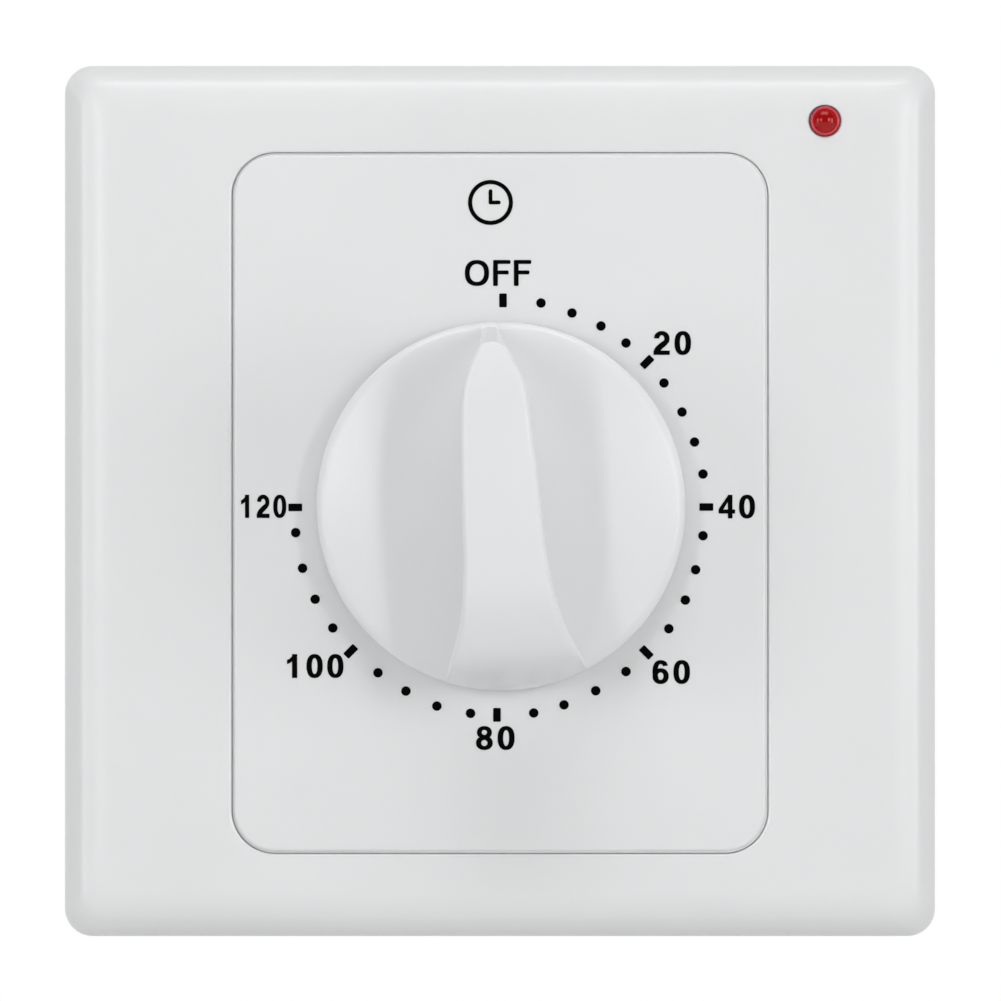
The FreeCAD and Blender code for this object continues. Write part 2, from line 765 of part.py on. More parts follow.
def pallet_pin_centres():
    return [
        polar(CENTRES[4], PALLET_R, ANCHOR_DIRECTION + side * PALLET_SPAN)
        for side in (-1, 1)
    ]


def pallet_anchor():
    """Rocking lever with two arms for the pins and a weighted tail."""
    z0, z1 = -15.9, -15.1
    shapes = [post(ANCHOR, 1.5, z0, z1, 10)]
    for x, y in pallet_pin_centres():
        length = math.hypot(x - ANCHOR[0], y - ANCHOR[1])
        arm = box(0, length, -0.45, 0.45, z0, z1)
        arm = arm.fuse(post((length, 0), 0.6, z0, z1, 8))
        arm.rotate(V(0, 0, 0), V(0, 0, 1), math.degrees(math.atan2(y - ANCHOR[1], x - ANCHOR[0])))
        arm.translate(V(ANCHOR[0], ANCHOR[1], 0))
        shapes.append(arm)
    tail = box(0, 4.6, -0.5, 0.5, z0, z1)
    tail.rotate(V(0, 0, 0), V(0, 0, 1), ANCHOR_DIRECTION)
    tail.translate(V(ANCHOR[0], ANCHOR[1], 0))
    shapes.append(tail)
    body = fuse_all(shapes)
    body = body.cut(post(ANCHOR, 0.6, -17, -14))
    for point in pallet_pin_centres():
        body = body.cut(post(point, PALLET_PIN_R, -17, -14))
    return body.cut(post(polar(ANCHOR, 4.0, ANCHOR_DIRECTION), 0.4, -17, -14))


def pallet_pins():
    solids = [post(point, PALLET_PIN_R, -15.9, -13.7) for point in pallet_pin_centres()]
    return Part.makeCompound(solids)


def balance_weight():
    """Small rate weight riveted to the anchor tail."""
    point = polar(ANCHOR, 4.0, ANCHOR_DIRECTION)
    return fuse_all([post(point, 1.5, -15.1, -13.9, 12), post(point, 0.4, -15.9, -15.0)])


def pallet_arbor():
    shaft = post(ANCHOR, 0.6, REAR_PLATE[1] + 0.15, FRONT_PLATE[0] - 0.15)
    pivots = post(ANCHOR, PIVOT_R, REAR_PLATE[0] + 0.2, FRONT_PLATE[1] - 0.2)
    return shaft.fuse(pivots).removeSplitter()


def clutch_washer():
    """Dished washer that presses the main wheel against its clip."""
    rim = post(CENTRES[0], 6.2, -9.55, -9.25, 16).cut(post(CENTRES[0], 4.2, -10, -9, 12))
    crown = post(CENTRES[0], 4.6, -9.35, -8.95, 12)
    return rim.fuse(crown).cut(post(CENTRES[0], 2.52, -10, -8, 12)).removeSplitter()


def clutch_clip():
    body = post(CENTRES[0], 3.9, -11.4, -10.85, 12).cut(post(CENTRES[0], 2.5, -12, -10, 12))
    return body.cut(box(AXIS_X + 1, AXIS_X + 5, AXIS_Y - 0.8, AXIS_Y + 0.8, -12, -10))


def insulating_sheet():
    body = prism(plate_outline(), -21.2, -20.6)
    body = body.cut(post(CENTRES[0], 2.5, -22, -20, 12))
    for point in PILLARS:
        body = body.cut(post(point, 2.3, -22, -20))
    return body


def switch_cam():
    """Cam on the rear end of the arbor; its lobe opens the contacts at OFF."""
    flank = math.degrees(math.acos(CAM_R / CAM_LOBE))
    lobe = prism(
        (
            polar(CENTRES[0], CAM_R, -90 - flank), polar(CENTRES[0], CAM_LOBE, -94),
            polar(CENTRES[0], CAM_LOBE, -86), polar(CENTRES[0], CAM_R, -90 + flank),
            CENTRES[0],
        ),
        *CAM_Z,
    )
    body = post(CENTRES[0], CAM_R, *CAM_Z, 20).fuse(lobe)
    bore = cyl(CENTRES[0], 1.9, -27, -20)
    keep = box(-5, 5, 1.45, 5, -28, -19)
    keep.translate(V(AXIS_X, AXIS_Y, 0))
    return body.cut(bore.cut(keep)).removeSplitter()


def strip(points, thickness, z0, z1):
    """Bent metal strip on edge: a polyline offset by its thickness."""
    left = []
    right = []
    count = len(points)
    for index, (x, y) in enumerate(points):
        before = points[max(index - 1, 0)]
        after = points[min(index + 1, count - 1)]
        into = (x - before[0], y - before[1])
        out = (after[0] - x, after[1] - y)
        if index == 0:
            into = out
        if index == count - 1:
            out = into
        n1 = (-into[1] / math.hypot(*into), into[0] / math.hypot(*into))
        n2 = (-out[1] / math.hypot(*out), out[0] / math.hypot(*out))
        mx, my = (n1[0] + n2[0], n1[1] + n2[1])
        scale = thickness / (1 + n1[0] * n2[0] + n1[1] * n2[1])
        left.append((x + mx * scale / 2, y + my * scale / 2))
        right.append((x - mx * scale / 2, y - my * scale / 2))
    return prism(left + right[::-1], z0, z1)


def moving_contact_blade():
    """Spring blade with a raised nose under the cam and a foot in its terminal."""
    points = (
        (-14.0, -16.4), (-14.0, -8.9), (-3.4, -8.9), (-0.9, -7.72), (1.1, -7.72),
        (3.6, -8.9), (14.0, -8.9),
    )
    blade = strip(points, 0.35, -25.2, -21.8)
    return blade.cut(box(11.8, 13.0, -12, -5, -24.1, -22.9))


def moving_contact_button():
    head = bar_y(12.4, -23.5, 1.5, -8.72, -7.9)
    return head.fuse(box(11.8, 13.0, -9.3, -8.7, -24.1, -22.9))


def fixed_contact_blade():
    points = ((8.9, -6.0), (17.6, -6.0), (17.6, -12.6), (14.0, -13.6), (14.0, -16.4))
    blade = strip(points, 0.5, -25.2, -21.8)
    return blade.cut(box(11.8, 13.0, -9, -3, -24.1, -22.9))


def fixed_contact_button():
    head = bar_y(12.4, -23.5, 1.5, -7.05, -6.25)
    return head.fuse(box(11.8, 13.0, -6.3, -5.5, -24.1, -22.9))


def terminal_block():
    """Insulating block with three wells for the clamps and wire entries below."""
    body = box(-20.6, 20.6, -28.1, -14.2, -32.1, -21.6)
    for x in TERMINAL_X:
        body = body.cut(box(x - 3.55, x + 3.55, -23.6, -15.6, -33, -22.4))
        body = body.cut(bar_y(x, WIRE_Z, WIRE_R, -29, -20))
        body = body.cut(box(x - 2.4, x + 2.4, -18, -13, -29.9, -21.7))
    for side in (-1, 1):
        x0, x1 = sorted((side * 18.9, side * 21.0))
        body = body.cut(box(x0, x1, -29, -22.6, -33, -21))
    return body


def terminal_clamps():
    """Brass clamp blocks, bored for the wire and tapped for the screw."""
    solids = []
    for x in TERMINAL_X:
        item = box(x - 3.4, x + 3.4, -23.5, -16.8, -30.9, -23.2)
        item = item.cut(bar_y(x, WIRE_Z, WIRE_R, -25, -16))
        item = item.cut(post((x, TERMINAL_SCREW_Y), 1.45, -32, WIRE_Z, 6))
        solids.append(item)
    return Part.makeCompound(solids)


def terminal_screws():
    solids = []
    for x in TERMINAL_X:
        point = (x, TERMINAL_SCREW_Y)
        item = screw(point, 2.3, 1.5, 1.4, 1.85, 0.0)
        item.rotate(V(point[0], point[1], 0), V(1, 0, 0), 180)
        item.translate(V(0, 0, -31.1))
        solids.append(item)
    return Part.makeCompound(solids)


PIECES = (
    cover_frame, dial_plate, control_knob, knob_spring_clip, indicator_lamp,
    lamp_holder, lamp_lead_a, lamp_lead_b, lamp_resistor, mounting_plate,
    rear_housing, housing_screws, movement_front_plate, movement_rear_plate,
    movement_pillars, movement_screws, rear_plate_screws, arbor_bush, main_arbor,
    spring_collet, mainspring, spring_post, clutch_washer, clutch_clip, main_wheel,
    second_wheel, second_pinion, third_wheel, third_pinion, fourth_wheel,
    fourth_pinion, escape_wheel, escape_pinion, pallet_anchor, pallet_pins,
    balance_weight, pallet_arbor, insulating_sheet, switch_cam,
    moving_contact_blade, moving_contact_button, fixed_contact_blade,
    fixed_contact_button, terminal_block, terminal_clamps, terminal_screws,
)


def main():
    os.makedirs("parts", exist_ok=True)
    for make in PIECES:
        shape = make()
        name = make.__name__
        print(name, shape.isValid(), len(shape.Solids), round(shape.Volume, 1))
        shape.rotate(V(0, 0, 0), V(1, 0, 0), 90)
        shape.exportStep("parts/" + name + ".step")


main()
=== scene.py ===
"""Countdown timer switch, dressed for a catalogue view on white.

Shapes are written in plate coordinates in millimetres: x to the right, y up,
z out of the wall. They become the shared frame in metres when a mesh is made.
"""
import json
import bpy
import bmesh
import math
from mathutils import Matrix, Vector, geometry


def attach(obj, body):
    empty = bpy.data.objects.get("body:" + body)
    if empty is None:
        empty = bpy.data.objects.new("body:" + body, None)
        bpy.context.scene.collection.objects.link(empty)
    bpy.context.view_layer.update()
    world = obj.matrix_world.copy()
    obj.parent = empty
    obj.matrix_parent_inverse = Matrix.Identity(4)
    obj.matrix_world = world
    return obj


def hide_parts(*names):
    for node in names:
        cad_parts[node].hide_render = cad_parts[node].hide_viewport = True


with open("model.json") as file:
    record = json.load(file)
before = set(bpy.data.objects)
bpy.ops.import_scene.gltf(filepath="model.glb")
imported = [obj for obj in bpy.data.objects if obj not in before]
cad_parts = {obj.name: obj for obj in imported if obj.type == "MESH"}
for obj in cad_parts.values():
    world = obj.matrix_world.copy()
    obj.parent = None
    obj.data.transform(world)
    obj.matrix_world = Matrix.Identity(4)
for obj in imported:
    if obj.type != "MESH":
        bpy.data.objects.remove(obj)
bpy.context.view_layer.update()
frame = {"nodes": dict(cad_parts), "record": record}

# sizes in millimetres, with every height measured from the wall
MM = 0.001

# cover
PLATE = 86.0
PLATE_CORNER = 2.8
CREASE_CORNER = 2.4
FACE_CORNER = 2.2
COVER_EDGE = 0.15
COVER_BACK = 0.3
COVER_FRONT = 8.5
COVER_INNER = 82.0
COVER_WALL_FRONT = 6.4
ROLL_START = 4.1
ROLL_RADIUS = 4.46
CREASE_Z = 7.75
CROWN_RADIUS = 6.78
PROFILE_STEPS = 12
LIP_R = 0.3

# dial insert
DIAL_W = 52.3
DIAL_H = 68.5
DIAL_CORNER = 4.0
DIAL_Y = -0.2
DIAL_FRONT = 8.7
DIAL_GAP = 0.25
DIAL_BACK = 2.2
DIAL_UNDER = 6.9
DIAL_WALL = 1.6
DIAL_HOLE_R = 4.7
LEDGE = 8.3
LEDGE_TILT = 0.12

# lamp
LAMP = (31.98, 37.42)
LAMP_HOLE = 1.56
LENS_FOOT = 8.66
LENS_DOME_R = 1.16
LENS_DOME_SWEEP = math.radians(54)

# knob
AXIS = (0.1, -0.5)
KNOB_R = 18.1
KNOB_BACK = 9.1
KNOB_TOP = 26.0
SCOOP_X = 11.3
SCOOP_SLOPE = 0.08
DOME_TOP = 14.5
DOME_FALL = 0.0068
RIM_ROLL = 0.7
RIM_RINGS = (17.15, 17.4, 17.6, 17.75, 17.85, 17.93, 18.0, 18.05, 18.09, KNOB_R)
GRIP_EDGE = 0.45
GRIP_FOOT = 0.14
POINTER_TILT = 4.07

# print
INK = 0.03
DOT_R = 0.47
TICK_HALF_LENGTH = 0.68
TICK_HALF_WIDTH = 0.375
TICK_CORNER = 0.1
OFF_STEPS = (0.0, 28.2, 48.9)
FIGURE_STEP = 20.2

# mainspring
SPRING_HALF = 0.16
SPRING_LOW = -8.0
SPRING_HIGH = -3.0
SPRING_INNER_R = 4.25
SPRING_GROWTH = 7.05
SPRING_DEGREES = 1845.0

# the photograph's scale, and the middle of its plate in pixels
PX_PER_MM = 10.162
PHOTO_MIDDLE = (500.0, 501.0)


def to_frame(x, y, z):
    """Plate millimetres to the shared frame in metres."""
    return (x * MM, -z * MM, y * MM)


def from_photo(px, py):
    """A pixel of the photograph as plate millimetres."""
    return ((px - PHOTO_MIDDLE[0]) / PX_PER_MM, (PHOTO_MIDDLE[1] - py) / PX_PER_MM)


def new_object(name, verts, faces, smooth=True):
    """Mesh object from plate millimetres, with doubles merged and normals outward."""
    mesh = bpy.data.meshes.new(name)
    mesh.from_pydata([to_frame(*v) for v in verts], [], faces)
    work = bmesh.new()
    work.from_mesh(mesh)
    bmesh.ops.remove_doubles(work, verts=work.verts, dist=2e-7)
    bmesh.ops.recalc_face_normals(work, faces=work.faces)
    work.to_mesh(mesh)
    work.free()
    obj = bpy.data.objects.new(name, mesh)
    bpy.context.scene.collection.objects.link(obj)
    if smooth:
        mesh.shade_smooth()
    return obj


def sharpen(obj, degrees):
    """Smooth shading that breaks at edges steeper than the angle."""
    obj.data.shade_smooth()
    obj.data.set_sharp_from_angle(angle=math.radians(degrees))


def rounded_loop(width, height, corner, z, cy=0.0):
    """Closed loop of a rounded rectangle, the same count of points each time."""
    steps, side = 14, 6
    loop = []
    hx = width / 2 - corner
    hy = height / 2 - corner
    quarters = ((hx, hy, 0), (-hx, hy, 90), (-hx, -hy, 180), (hx, -hy, 270))
    arcs = []
    for x, y, start in quarters:
        arc = []
        for k in range(steps + 1):
            angle = math.radians(start + 90 * k / steps)
            arc.append((x + corner * math.cos(angle), cy + y + corner * math.sin(angle), z))
        arcs.append(arc)
    for index, arc in enumerate(arcs):
        loop += arc
        after = arcs[(index + 1) % 4][0]
        last = arc[-1]
        for k in range(1, side):
            t = k / side
            loop.append(tuple(last[i] + (after[i] - last[i]) * t for i in range(3)))
    return loop


def skin(loops):
    """Quads between loops of equal length, the last joined to the first."""
    count = len(loops[0])
    verts = [v for loop in loops for v in loop]
    faces = []
    for i in range(len(loops)):
        a = i * count
        b = ((i + 1) % len(loops)) * count
        for k in range(count):
            n = (k + 1) % count
            faces.append((a + k, a + n, b + n, b + k))
    return verts, faces


def turned(name, outline, centre, sides):
    """Turned piece from (r, z) points.

    They begin and end on the axis, or for a ring at one point away from it.
    """
    verts = []
    faces = []
    rows = []
    for r, z in outline:
        if r < 1e-6:
            rows.append([len(verts)])
            verts.append((centre[0], centre[1], z))
            continue
        ring = []
        for k in range(sides):
            angle = 2 * math.pi * k / sides
            ring.append(len(verts))
            verts.append((centre[0] + r * math.cos(angle), centre[1] + r * math.sin(angle), z))
        rows.append(ring)
    for a, b in zip(rows, rows[1:]):
        for k in range(sides):
            n = (k + 1) % sides
            if len(a) == 1:
                faces.append((a[0], b[k], b[n]))
            elif len(b) == 1:
                faces.append((a[k], a[n], b[0]))
            else:
                faces.append((a[k], a[n], b[n], b[k]))
    return new_object(name, verts, faces)


def lip(face_z):
    """(offset, z) points of a rounded lip from a wall up to a flat face."""
    steps = 6
    points = []
    for k in range(steps + 1):
        angle = math.radians(90 * k / steps)
        points.append((LIP_R * (1 - math.cos(angle)), face_z - LIP_R + LIP_R * math.sin(angle)))
    return points


def cover_profile():
    """(half width, corner radius, z) of the outer skin from the wall to the face."""
    rows = [
        (PLATE / 2 - COVER_EDGE, PLATE_CORNER - COVER_EDGE, COVER_BACK),
        (PLATE / 2, PLATE_CORNER, COVER_BACK + COVER_EDGE),
        (PLATE / 2, PLATE_CORNER, ROLL_START),
    ]
    crease = math.asin((CREASE_Z - ROLL_START) / ROLL_RADIUS)
    for k in range(1, PROFILE_STEPS + 1):
        angle = crease * k / PROFILE_STEPS
        rows.append((
            PLATE / 2 - ROLL_RADIUS * (1 - math.cos(angle)),
            PLATE_CORNER + (CREASE_CORNER - PLATE_CORNER) * k / PROFILE_STEPS,
            ROLL_START + ROLL_RADIUS * math.sin(angle),
        ))
    half = rows[-1][0]
    rise = COVER_FRONT - CREASE_Z
    sweep = math.acos(1 - rise / CROWN_RADIUS)
    inner = half - CROWN_RADIUS * math.sin(sweep)
    for k in range(1, PROFILE_STEPS + 1):
        angle = sweep * (1 - k / PROFILE_STEPS)
        rows.append((
            inner + CROWN_RADIUS * math.sin(angle),
            CREASE_CORNER + (FACE_CORNER - CREASE_CORNER) * k / PROFILE_STEPS,
            COVER_FRONT - CROWN_RADIUS * (1 - math.cos(angle)),
        ))
    return rows


def make_cover():
    """Cover shell: outer skin, window with a rounded lip, and the hollow behind."""
    loops = []
    for half, corner, z in cover_profile():
        loops.append(rounded_loop(2 * half, 2 * half, corner, z))
    window_w = DIAL_W + 2 * DIAL_GAP
    window_h = DIAL_H + 2 * DIAL_GAP
    corner = DIAL_CORNER + DIAL_GAP
    margin = 1.2
    loops.append(rounded_loop(
        window_w + 2 * margin, window_h + 2 * margin, corner + margin, COVER_FRONT, DIAL_Y))
    for grow, z in reversed(lip(COVER_FRONT)):
        loops.append(rounded_loop(
            window_w + 2 * grow, window_h + 2 * grow, corner + grow, z, DIAL_Y))
    loops.append(rounded_loop(window_w, window_h, corner, COVER_WALL_FRONT, DIAL_Y))
    for half, corner, z in (
        (COVER_INNER / 2 - 0.5, 1.4, COVER_WALL_FRONT),
        (COVER_INNER / 2, 1.6, COVER_WALL_FRONT - 0.5),
        (COVER_INNER / 2, 1.6, COVER_BACK + COVER_EDGE),
        (COVER_INNER / 2 + COVER_EDGE, 1.75, COVER_BACK),
    ):
        loops.append(rounded_loop(2 * half, 2 * half, corner, z))
    verts, faces = skin(loops)
    cover = new_object("cover_shell", verts, faces)
    sharpen(cover, 35)
    return cover


def drill_lamp_hole(cover):
    """Cuts the lamp's round hole through the cover, with a softened mouth.

    The low angle at the end keeps the flat face round the hole evenly shaded.
    """
    mouth = (
        (0, 5.0), (LAMP_HOLE, 5.0), (LAMP_HOLE, 8.34), (LAMP_HOLE + 0.05, 8.44),
        (LAMP_HOLE + 0.16, 8.51), (LAMP_HOLE + 0.16, 9.5), (0, 9.5),
    )
    drill = turned("lamp_drill", mouth, LAMP, 72)
    change = cover.modifiers.new("lamp_hole", "BOOLEAN")
    change.operation = "DIFFERENCE"
    change.solver = "EXACT"
    change.object = drill
    bpy.context.view_layer.update()
    graph = bpy.context.evaluated_depsgraph_get()
    done = bpy.data.meshes.new_from_object(cover.evaluated_get(graph))
    cover.modifiers.clear()
    cover.data = done
    bpy.data.objects.remove(drill)
    sharpen(cover, 25)


def make_dial():
    """Dial insert: hollow back, flange, a ledge low at its left, face and shaft hole."""
    loops = []
    for grow, z in (
        (-DIAL_WALL, DIAL_UNDER), (-DIAL_WALL, DIAL_BACK), (0.0, DIAL_BACK),
        (0.0, 5.1), (1.4, 5.1), (1.4, 6.2), (0.18, 6.2), (0.18, LEDGE), (0.0, LEDGE),
    ):
        loop = rounded_loop(
            DIAL_W + 2 * grow, DIAL_H + 2 * grow, DIAL_CORNER + grow, z, DIAL_Y)
        if z == LEDGE:
            loop = [(x, y, z - LEDGE_TILT * max(-x, 0.0) / (DIAL_W / 2)) for x, y, z in loop]
        loops.append(loop)
    for shrink, z in lip(DIAL_FRONT):
        loops.append(rounded_loop(
            DIAL_W - 2 * shrink, DIAL_H - 2 * shrink, DIAL_CORNER - shrink, z, DIAL_Y))
    ring = []
    for x, y, _ in loops[-1]:
        angle = math.atan2(y - AXIS[1], x - AXIS[0])
        ring.append((
            AXIS[0] + DIAL_HOLE_R * math.cos(angle), AXIS[1] + DIAL_HOLE_R * math.sin(angle)))
    loops.append([(x, y, DIAL_FRONT) for x, y in ring])
    loops.append([(x, y, DIAL_UNDER) for x, y in ring])
    verts, faces = skin(loops)
    dial = new_object("dial_face", verts, faces)
    sharpen(dial, 35)
    return dial


# (distance along the grip, half width there), from the tail to the pointer tip
GRIP_RIGHT = (
    (-18.2, 7.6), (-16.2, 7.0), (-14.8, 6.5), (-13.3, 5.75), (-11.4, 5.1), (-9.4, 4.6),
    (-5.4, 4.02), (-1.4, 3.8), (2.5, 3.66), (6.4, 3.45), (10.4, 3.22), (12.3, 2.95),
    (14.3, 2.1), (15.3, 1.6), (16.4, 1.1), (18.2, 0.6),
)
GRIP_LEFT = (
    (-18.2, 6.9), (-16.2, 6.35), (-14.8, 5.9), (-13.3, 5.4), (-11.4, 4.8), (-9.4, 4.4),
    (-5.4, 3.95), (-1.4, 3.8), (2.5, 3.62), (6.4, 3.35), (10.4, 3.05), (12.3, 2.6),
    (14.3, 1.8), (15.3, 1.25), (16.4, 0.85), (18.2, 0.5),
)


def grip_half(along, side):
    """Distance from the grip's middle to its side; side is 1 right, -1 left.

    A smooth curve runs through the table's points.
    """
    table = GRIP_RIGHT if side > 0 else GRIP_LEFT
    if along <= table[0][0]:
        return table[0][1]
    for k in range(len(table) - 1):
        x0, y0 = table[k]
        x1, y1 = table[k + 1]
        if along <= x1:
            before = table[max(k - 1, 0)]
            after = table[min(k + 2, len(table) - 1)]
            m0 = (y1 - before[1]) / (x1 - before[0])
            m1 = (after[1] - y0) / (after[0] - x0)
            span = x1 - x0
            t = (along - x0) / span
            a = 2 * t ** 3 - 3 * t ** 2 + 1
            b = t ** 3 - 2 * t ** 2 + t
            c = -2 * t ** 3 + 3 * t ** 2
            d = t ** 3 - t ** 2
            return a * y0 + b * span * m0 + c * y1 + d * span * m1
    return table[-1][1]


def soft_min(a, b, k):
    """Smaller of two heights with a rounded changeover of width k."""
    h = max(k - abs(a - b), 0.0) / k
    return min(a, b) - h * h * k * 0.25


def grip_top(along):
    """Height of the grip's top, which rolls down towards its flared tail.

    It falls slowly from 6 mm above the axis on, faster from 8 mm below it and
    steeply at the end of the tail, and it drops a little towards the tip.
    """
    arch = max(6.0 - along, 0.0)
    fall = max(-8.0 - along, 0.0)
    end = max(-13.0 - along, 0.0)
    rise = max(along - 11.0, 0.0)
    return KNOB_TOP - arch ** 2 / 140.0 - fall ** 2 / 24.0 - end ** 3 / 16.0 - rise ** 2 / 30.0


def scoop_edge(along, side):
    """Distance from the grip's middle to the bowed and slanted crease of a scoop;
    side is 1 right, -1 left."""
    return SCOOP_X - 0.009 * along ** 2 + side * (0.071 * along - 0.6)


def dome_height(r):
    """Height of the disc's low dome at a distance from the axis, with a fine
    step just inside the rim."""
    step = min(max((r - (KNOB_R - 0.62)) / 0.12, 0.0), 1.0)
    return DOME_TOP - DOME_FALL * r ** 2 - 0.09 * step * step * (3 - 2 * step)


def scoop_height(across, along, side):
    """Height of the disc top beside the grip: a flat scoop cut into the dome."""
    edge = scoop_edge(along, side)
    dome = dome_height(math.hypot(across, along))
    cut = DOME_TOP - DOME_FALL * (edge ** 2 + along ** 2) - SCOOP_SLOPE * (edge - across)
    return soft_min(cut, dome, 0.11)


def knob_limit(r, tail):
    """Height of the cone that trims the grip's tail or its tip."""
    start = KNOB_R - (2.7 if tail else 2.2)
    stop = KNOB_R - (0.45 if tail else 0.85)
    return KNOB_TOP + (DOME_TOP - KNOB_TOP) * (r - start) / (stop - start)


def knob_row(along, side):
    """(across, z) points from the grip's middle to the rim at one station.

    The row runs over the grip's flat top, its rounded edge, its wall and the
    hollow at its foot, then over the scoop and the rings of the rim. The tail
    or the tip is trimmed by a cone, and the rim rolls down at the end.
    """
    edge_steps, wall_steps, scoop_steps = 8, 14, 60
    reach = math.sqrt(max(KNOB_R ** 2 - along ** 2, 0.0))
    half = grip_half(along, side)
    crest = grip_top(along)
    edge = GRIP_EDGE + 0.06 * max(-8.0 - along, 0.0)
    flat = max(half - edge, 0.05)
    points = [(flat * k / edge_steps, crest) for k in range(edge_steps + 1)]
    for k in range(1, edge_steps + 1):
        angle = math.radians(90 * k / edge_steps)
        points.append((
            flat + (half - flat) * math.sin(angle),
            crest - edge * (1 - math.cos(angle)),
        ))
    start = half + GRIP_FOOT
    floor = scoop_height(start, along, side)
    low = floor + GRIP_FOOT
    for k in range(1, wall_steps + 1):
        points.append((half, crest - edge + (low - crest + edge) * k / wall_steps))
    for k in range(1, wall_steps + 1):
        angle = math.radians(90 * k / wall_steps)
        points.append((
            half + GRIP_FOOT * (1 - math.cos(angle)),
            floor + GRIP_FOOT * (1 - math.sin(angle)),
        ))
    inner = math.sqrt(max(RIM_RINGS[0] ** 2 - along ** 2, 0.0))
    for k in range(1, scoop_steps + 1):
        x = start + (max(inner, start) - start) * k / scoop_steps
        points.append((x, scoop_height(x, along, side)))
    for ring in RIM_RINGS[1:]:
        x = math.sqrt(max(ring ** 2 - along ** 2, 0.0))
        points.append((max(x, points[-1][0]), scoop_height(x, along, side)))
    done = []
    for x, z in points:
        x = min(x, reach)
        r = math.hypot(x, along)
        if x < start:
            out = r if along < 0 else math.hypot(3.0 * x, along)
            trimmed = soft_min(z, knob_limit(out, along < 0), 2.0 if along < 0 else 0.6)
            z = max(trimmed, min(floor, dome_height(r)))
        over = max(0.0, r - (KNOB_R - RIM_ROLL)) / RIM_ROLL
        done.append((x, z - RIM_ROLL * (1 - math.sqrt(max(1 - over ** 2, 0.0)))))
    return done


def make_knob():
    """Scooped disc with its bar grip, closed below with a shallow hollow."""
    stations = 260
    rows = []
    for i in range(stations + 1):
        along = -KNOB_R * math.cos(math.pi * i / stations)
        left = [(-x, along, z) for x, z in reversed(knob_row(along, -1)[1:])]
        right = [(x, along, z) for x, z in knob_row(along, 1)]
        rows.append(left + right)
    width = len(rows[0])
    verts = [v for line in rows for v in line]
    faces = []
    for i in range(stations):
        for k in range(width - 1):
            a = i * width + k
            faces.append((a, a + 1, a + width + 1, a + width))
    right = [i * width + width - 1 for i in range(stations + 1)]
    left = [i * width for i in range(stations, -1, -1)]
    rim = right + left[1:-1]
    below = []
    edge = 0.25
    inner = KNOB_R - 1.7
    boss = 5.2
    shaft = 3.05
    hollow = KNOB_BACK + 0.9
    for radius, z in (
        (KNOB_R, KNOB_BACK + edge), (KNOB_R - edge, KNOB_BACK), (inner, KNOB_BACK),
        (inner, hollow), (boss, hollow), (boss, KNOB_BACK), (shaft, KNOB_BACK),
    ):
        ring = []
        for index in rim:
            x, y, _ = verts[index]
            size = math.hypot(x, y)
            ring.append(len(verts))
            verts.append((x * radius / size, y * radius / size, z))
        below.append(ring)
    loops = [rim] + below
    for upper, lower in zip(loops, loops[1:]):
        for k in range(len(upper)):
            n = (k + 1) % len(upper)
            faces.append((upper[k], lower[k], lower[n], upper[n]))
    middle = len(verts)
    verts.append((0, 0, KNOB_BACK))
    for k in range(len(below[-1])):
        n = (k + 1) % len(below[-1])
        faces.append((below[-1][k], middle, below[-1][n]))
    turn = math.radians(POINTER_TILT)
    placed = []
    for x, y, z in verts:
        placed.append((
            AXIS[0] + x * math.cos(turn) - y * math.sin(turn),
            AXIS[1] + x * math.sin(turn) + y * math.cos(turn),
            z,
        ))
    knob = new_object("knob_body", placed, faces)
    sharpen(knob, 50)
    return knob


def make_lamp():
    """Flanged lens with a rounded collar round its dome, and the lamp's two legs."""
    outline = [
        (0, 5.0), (1.95, 5.0), (1.95, 6.0), (1.54, 6.05), (1.54, 8.42), (1.53, 8.49),
        (1.50, 8.55), (1.46, 8.62), (1.42, 8.68), (1.37, 8.72), (1.26, 8.72), (1.19, 8.68),
    ]
    ball = LENS_DOME_R / math.sin(LENS_DOME_SWEEP)
    for k in range(17):
        angle = LENS_DOME_SWEEP * (1 - k / 16)
        rise = ball * (math.cos(angle) - math.cos(LENS_DOME_SWEEP))
        outline.append((ball * math.sin(angle), LENS_FOOT + rise))
    outline[-1] = (0, outline[-1][1])
    lamp = turned("lamp_lens", outline, LAMP, 72)
    sharpen(lamp, 40)
    legs = []
    wire = ((0, 3.4), (0.28, 3.4), (0.28, 5.05), (0, 5.05))
    for dx in (-0.65, 0.65):
        leg = turned("lamp_leg", wire, (LAMP[0] + dx, LAMP[1]), 12)
        sharpen(leg, 40)
        legs.append(leg)
    return lamp, legs


def steel_strip(name, path):
    """Flat spring strip standing on edge along a path in the plate plane."""
    verts = []
    faces = []
    for k, (x, y) in enumerate(path):
        before = path[max(k - 1, 0)]
        after = path[min(k + 1, len(path) - 1)]
        run = math.hypot(after[0] - before[0], after[1] - before[1])
        nx = (after[1] - before[1]) / run * SPRING_HALF
        ny = (before[0] - after[0]) / run * SPRING_HALF
        for side, z in ((1, SPRING_LOW), (1, SPRING_HIGH), (-1, SPRING_HIGH), (-1, SPRING_LOW)):
            verts.append((x + side * nx, y + side * ny, z))
    for k in range(len(path) - 1):
        for edge in range(4):
            other = (edge + 1) % 4
            faces.append((4 * k + edge, 4 * k + other, 4 * k + 4 + other, 4 * k + 4 + edge))
    last = 4 * (len(path) - 1)
    faces.append((0, 1, 2, 3))
    faces.append((last, last + 1, last + 2, last + 3))
    strip = new_object(name, verts, faces)
    sharpen(strip, 40)
    return strip


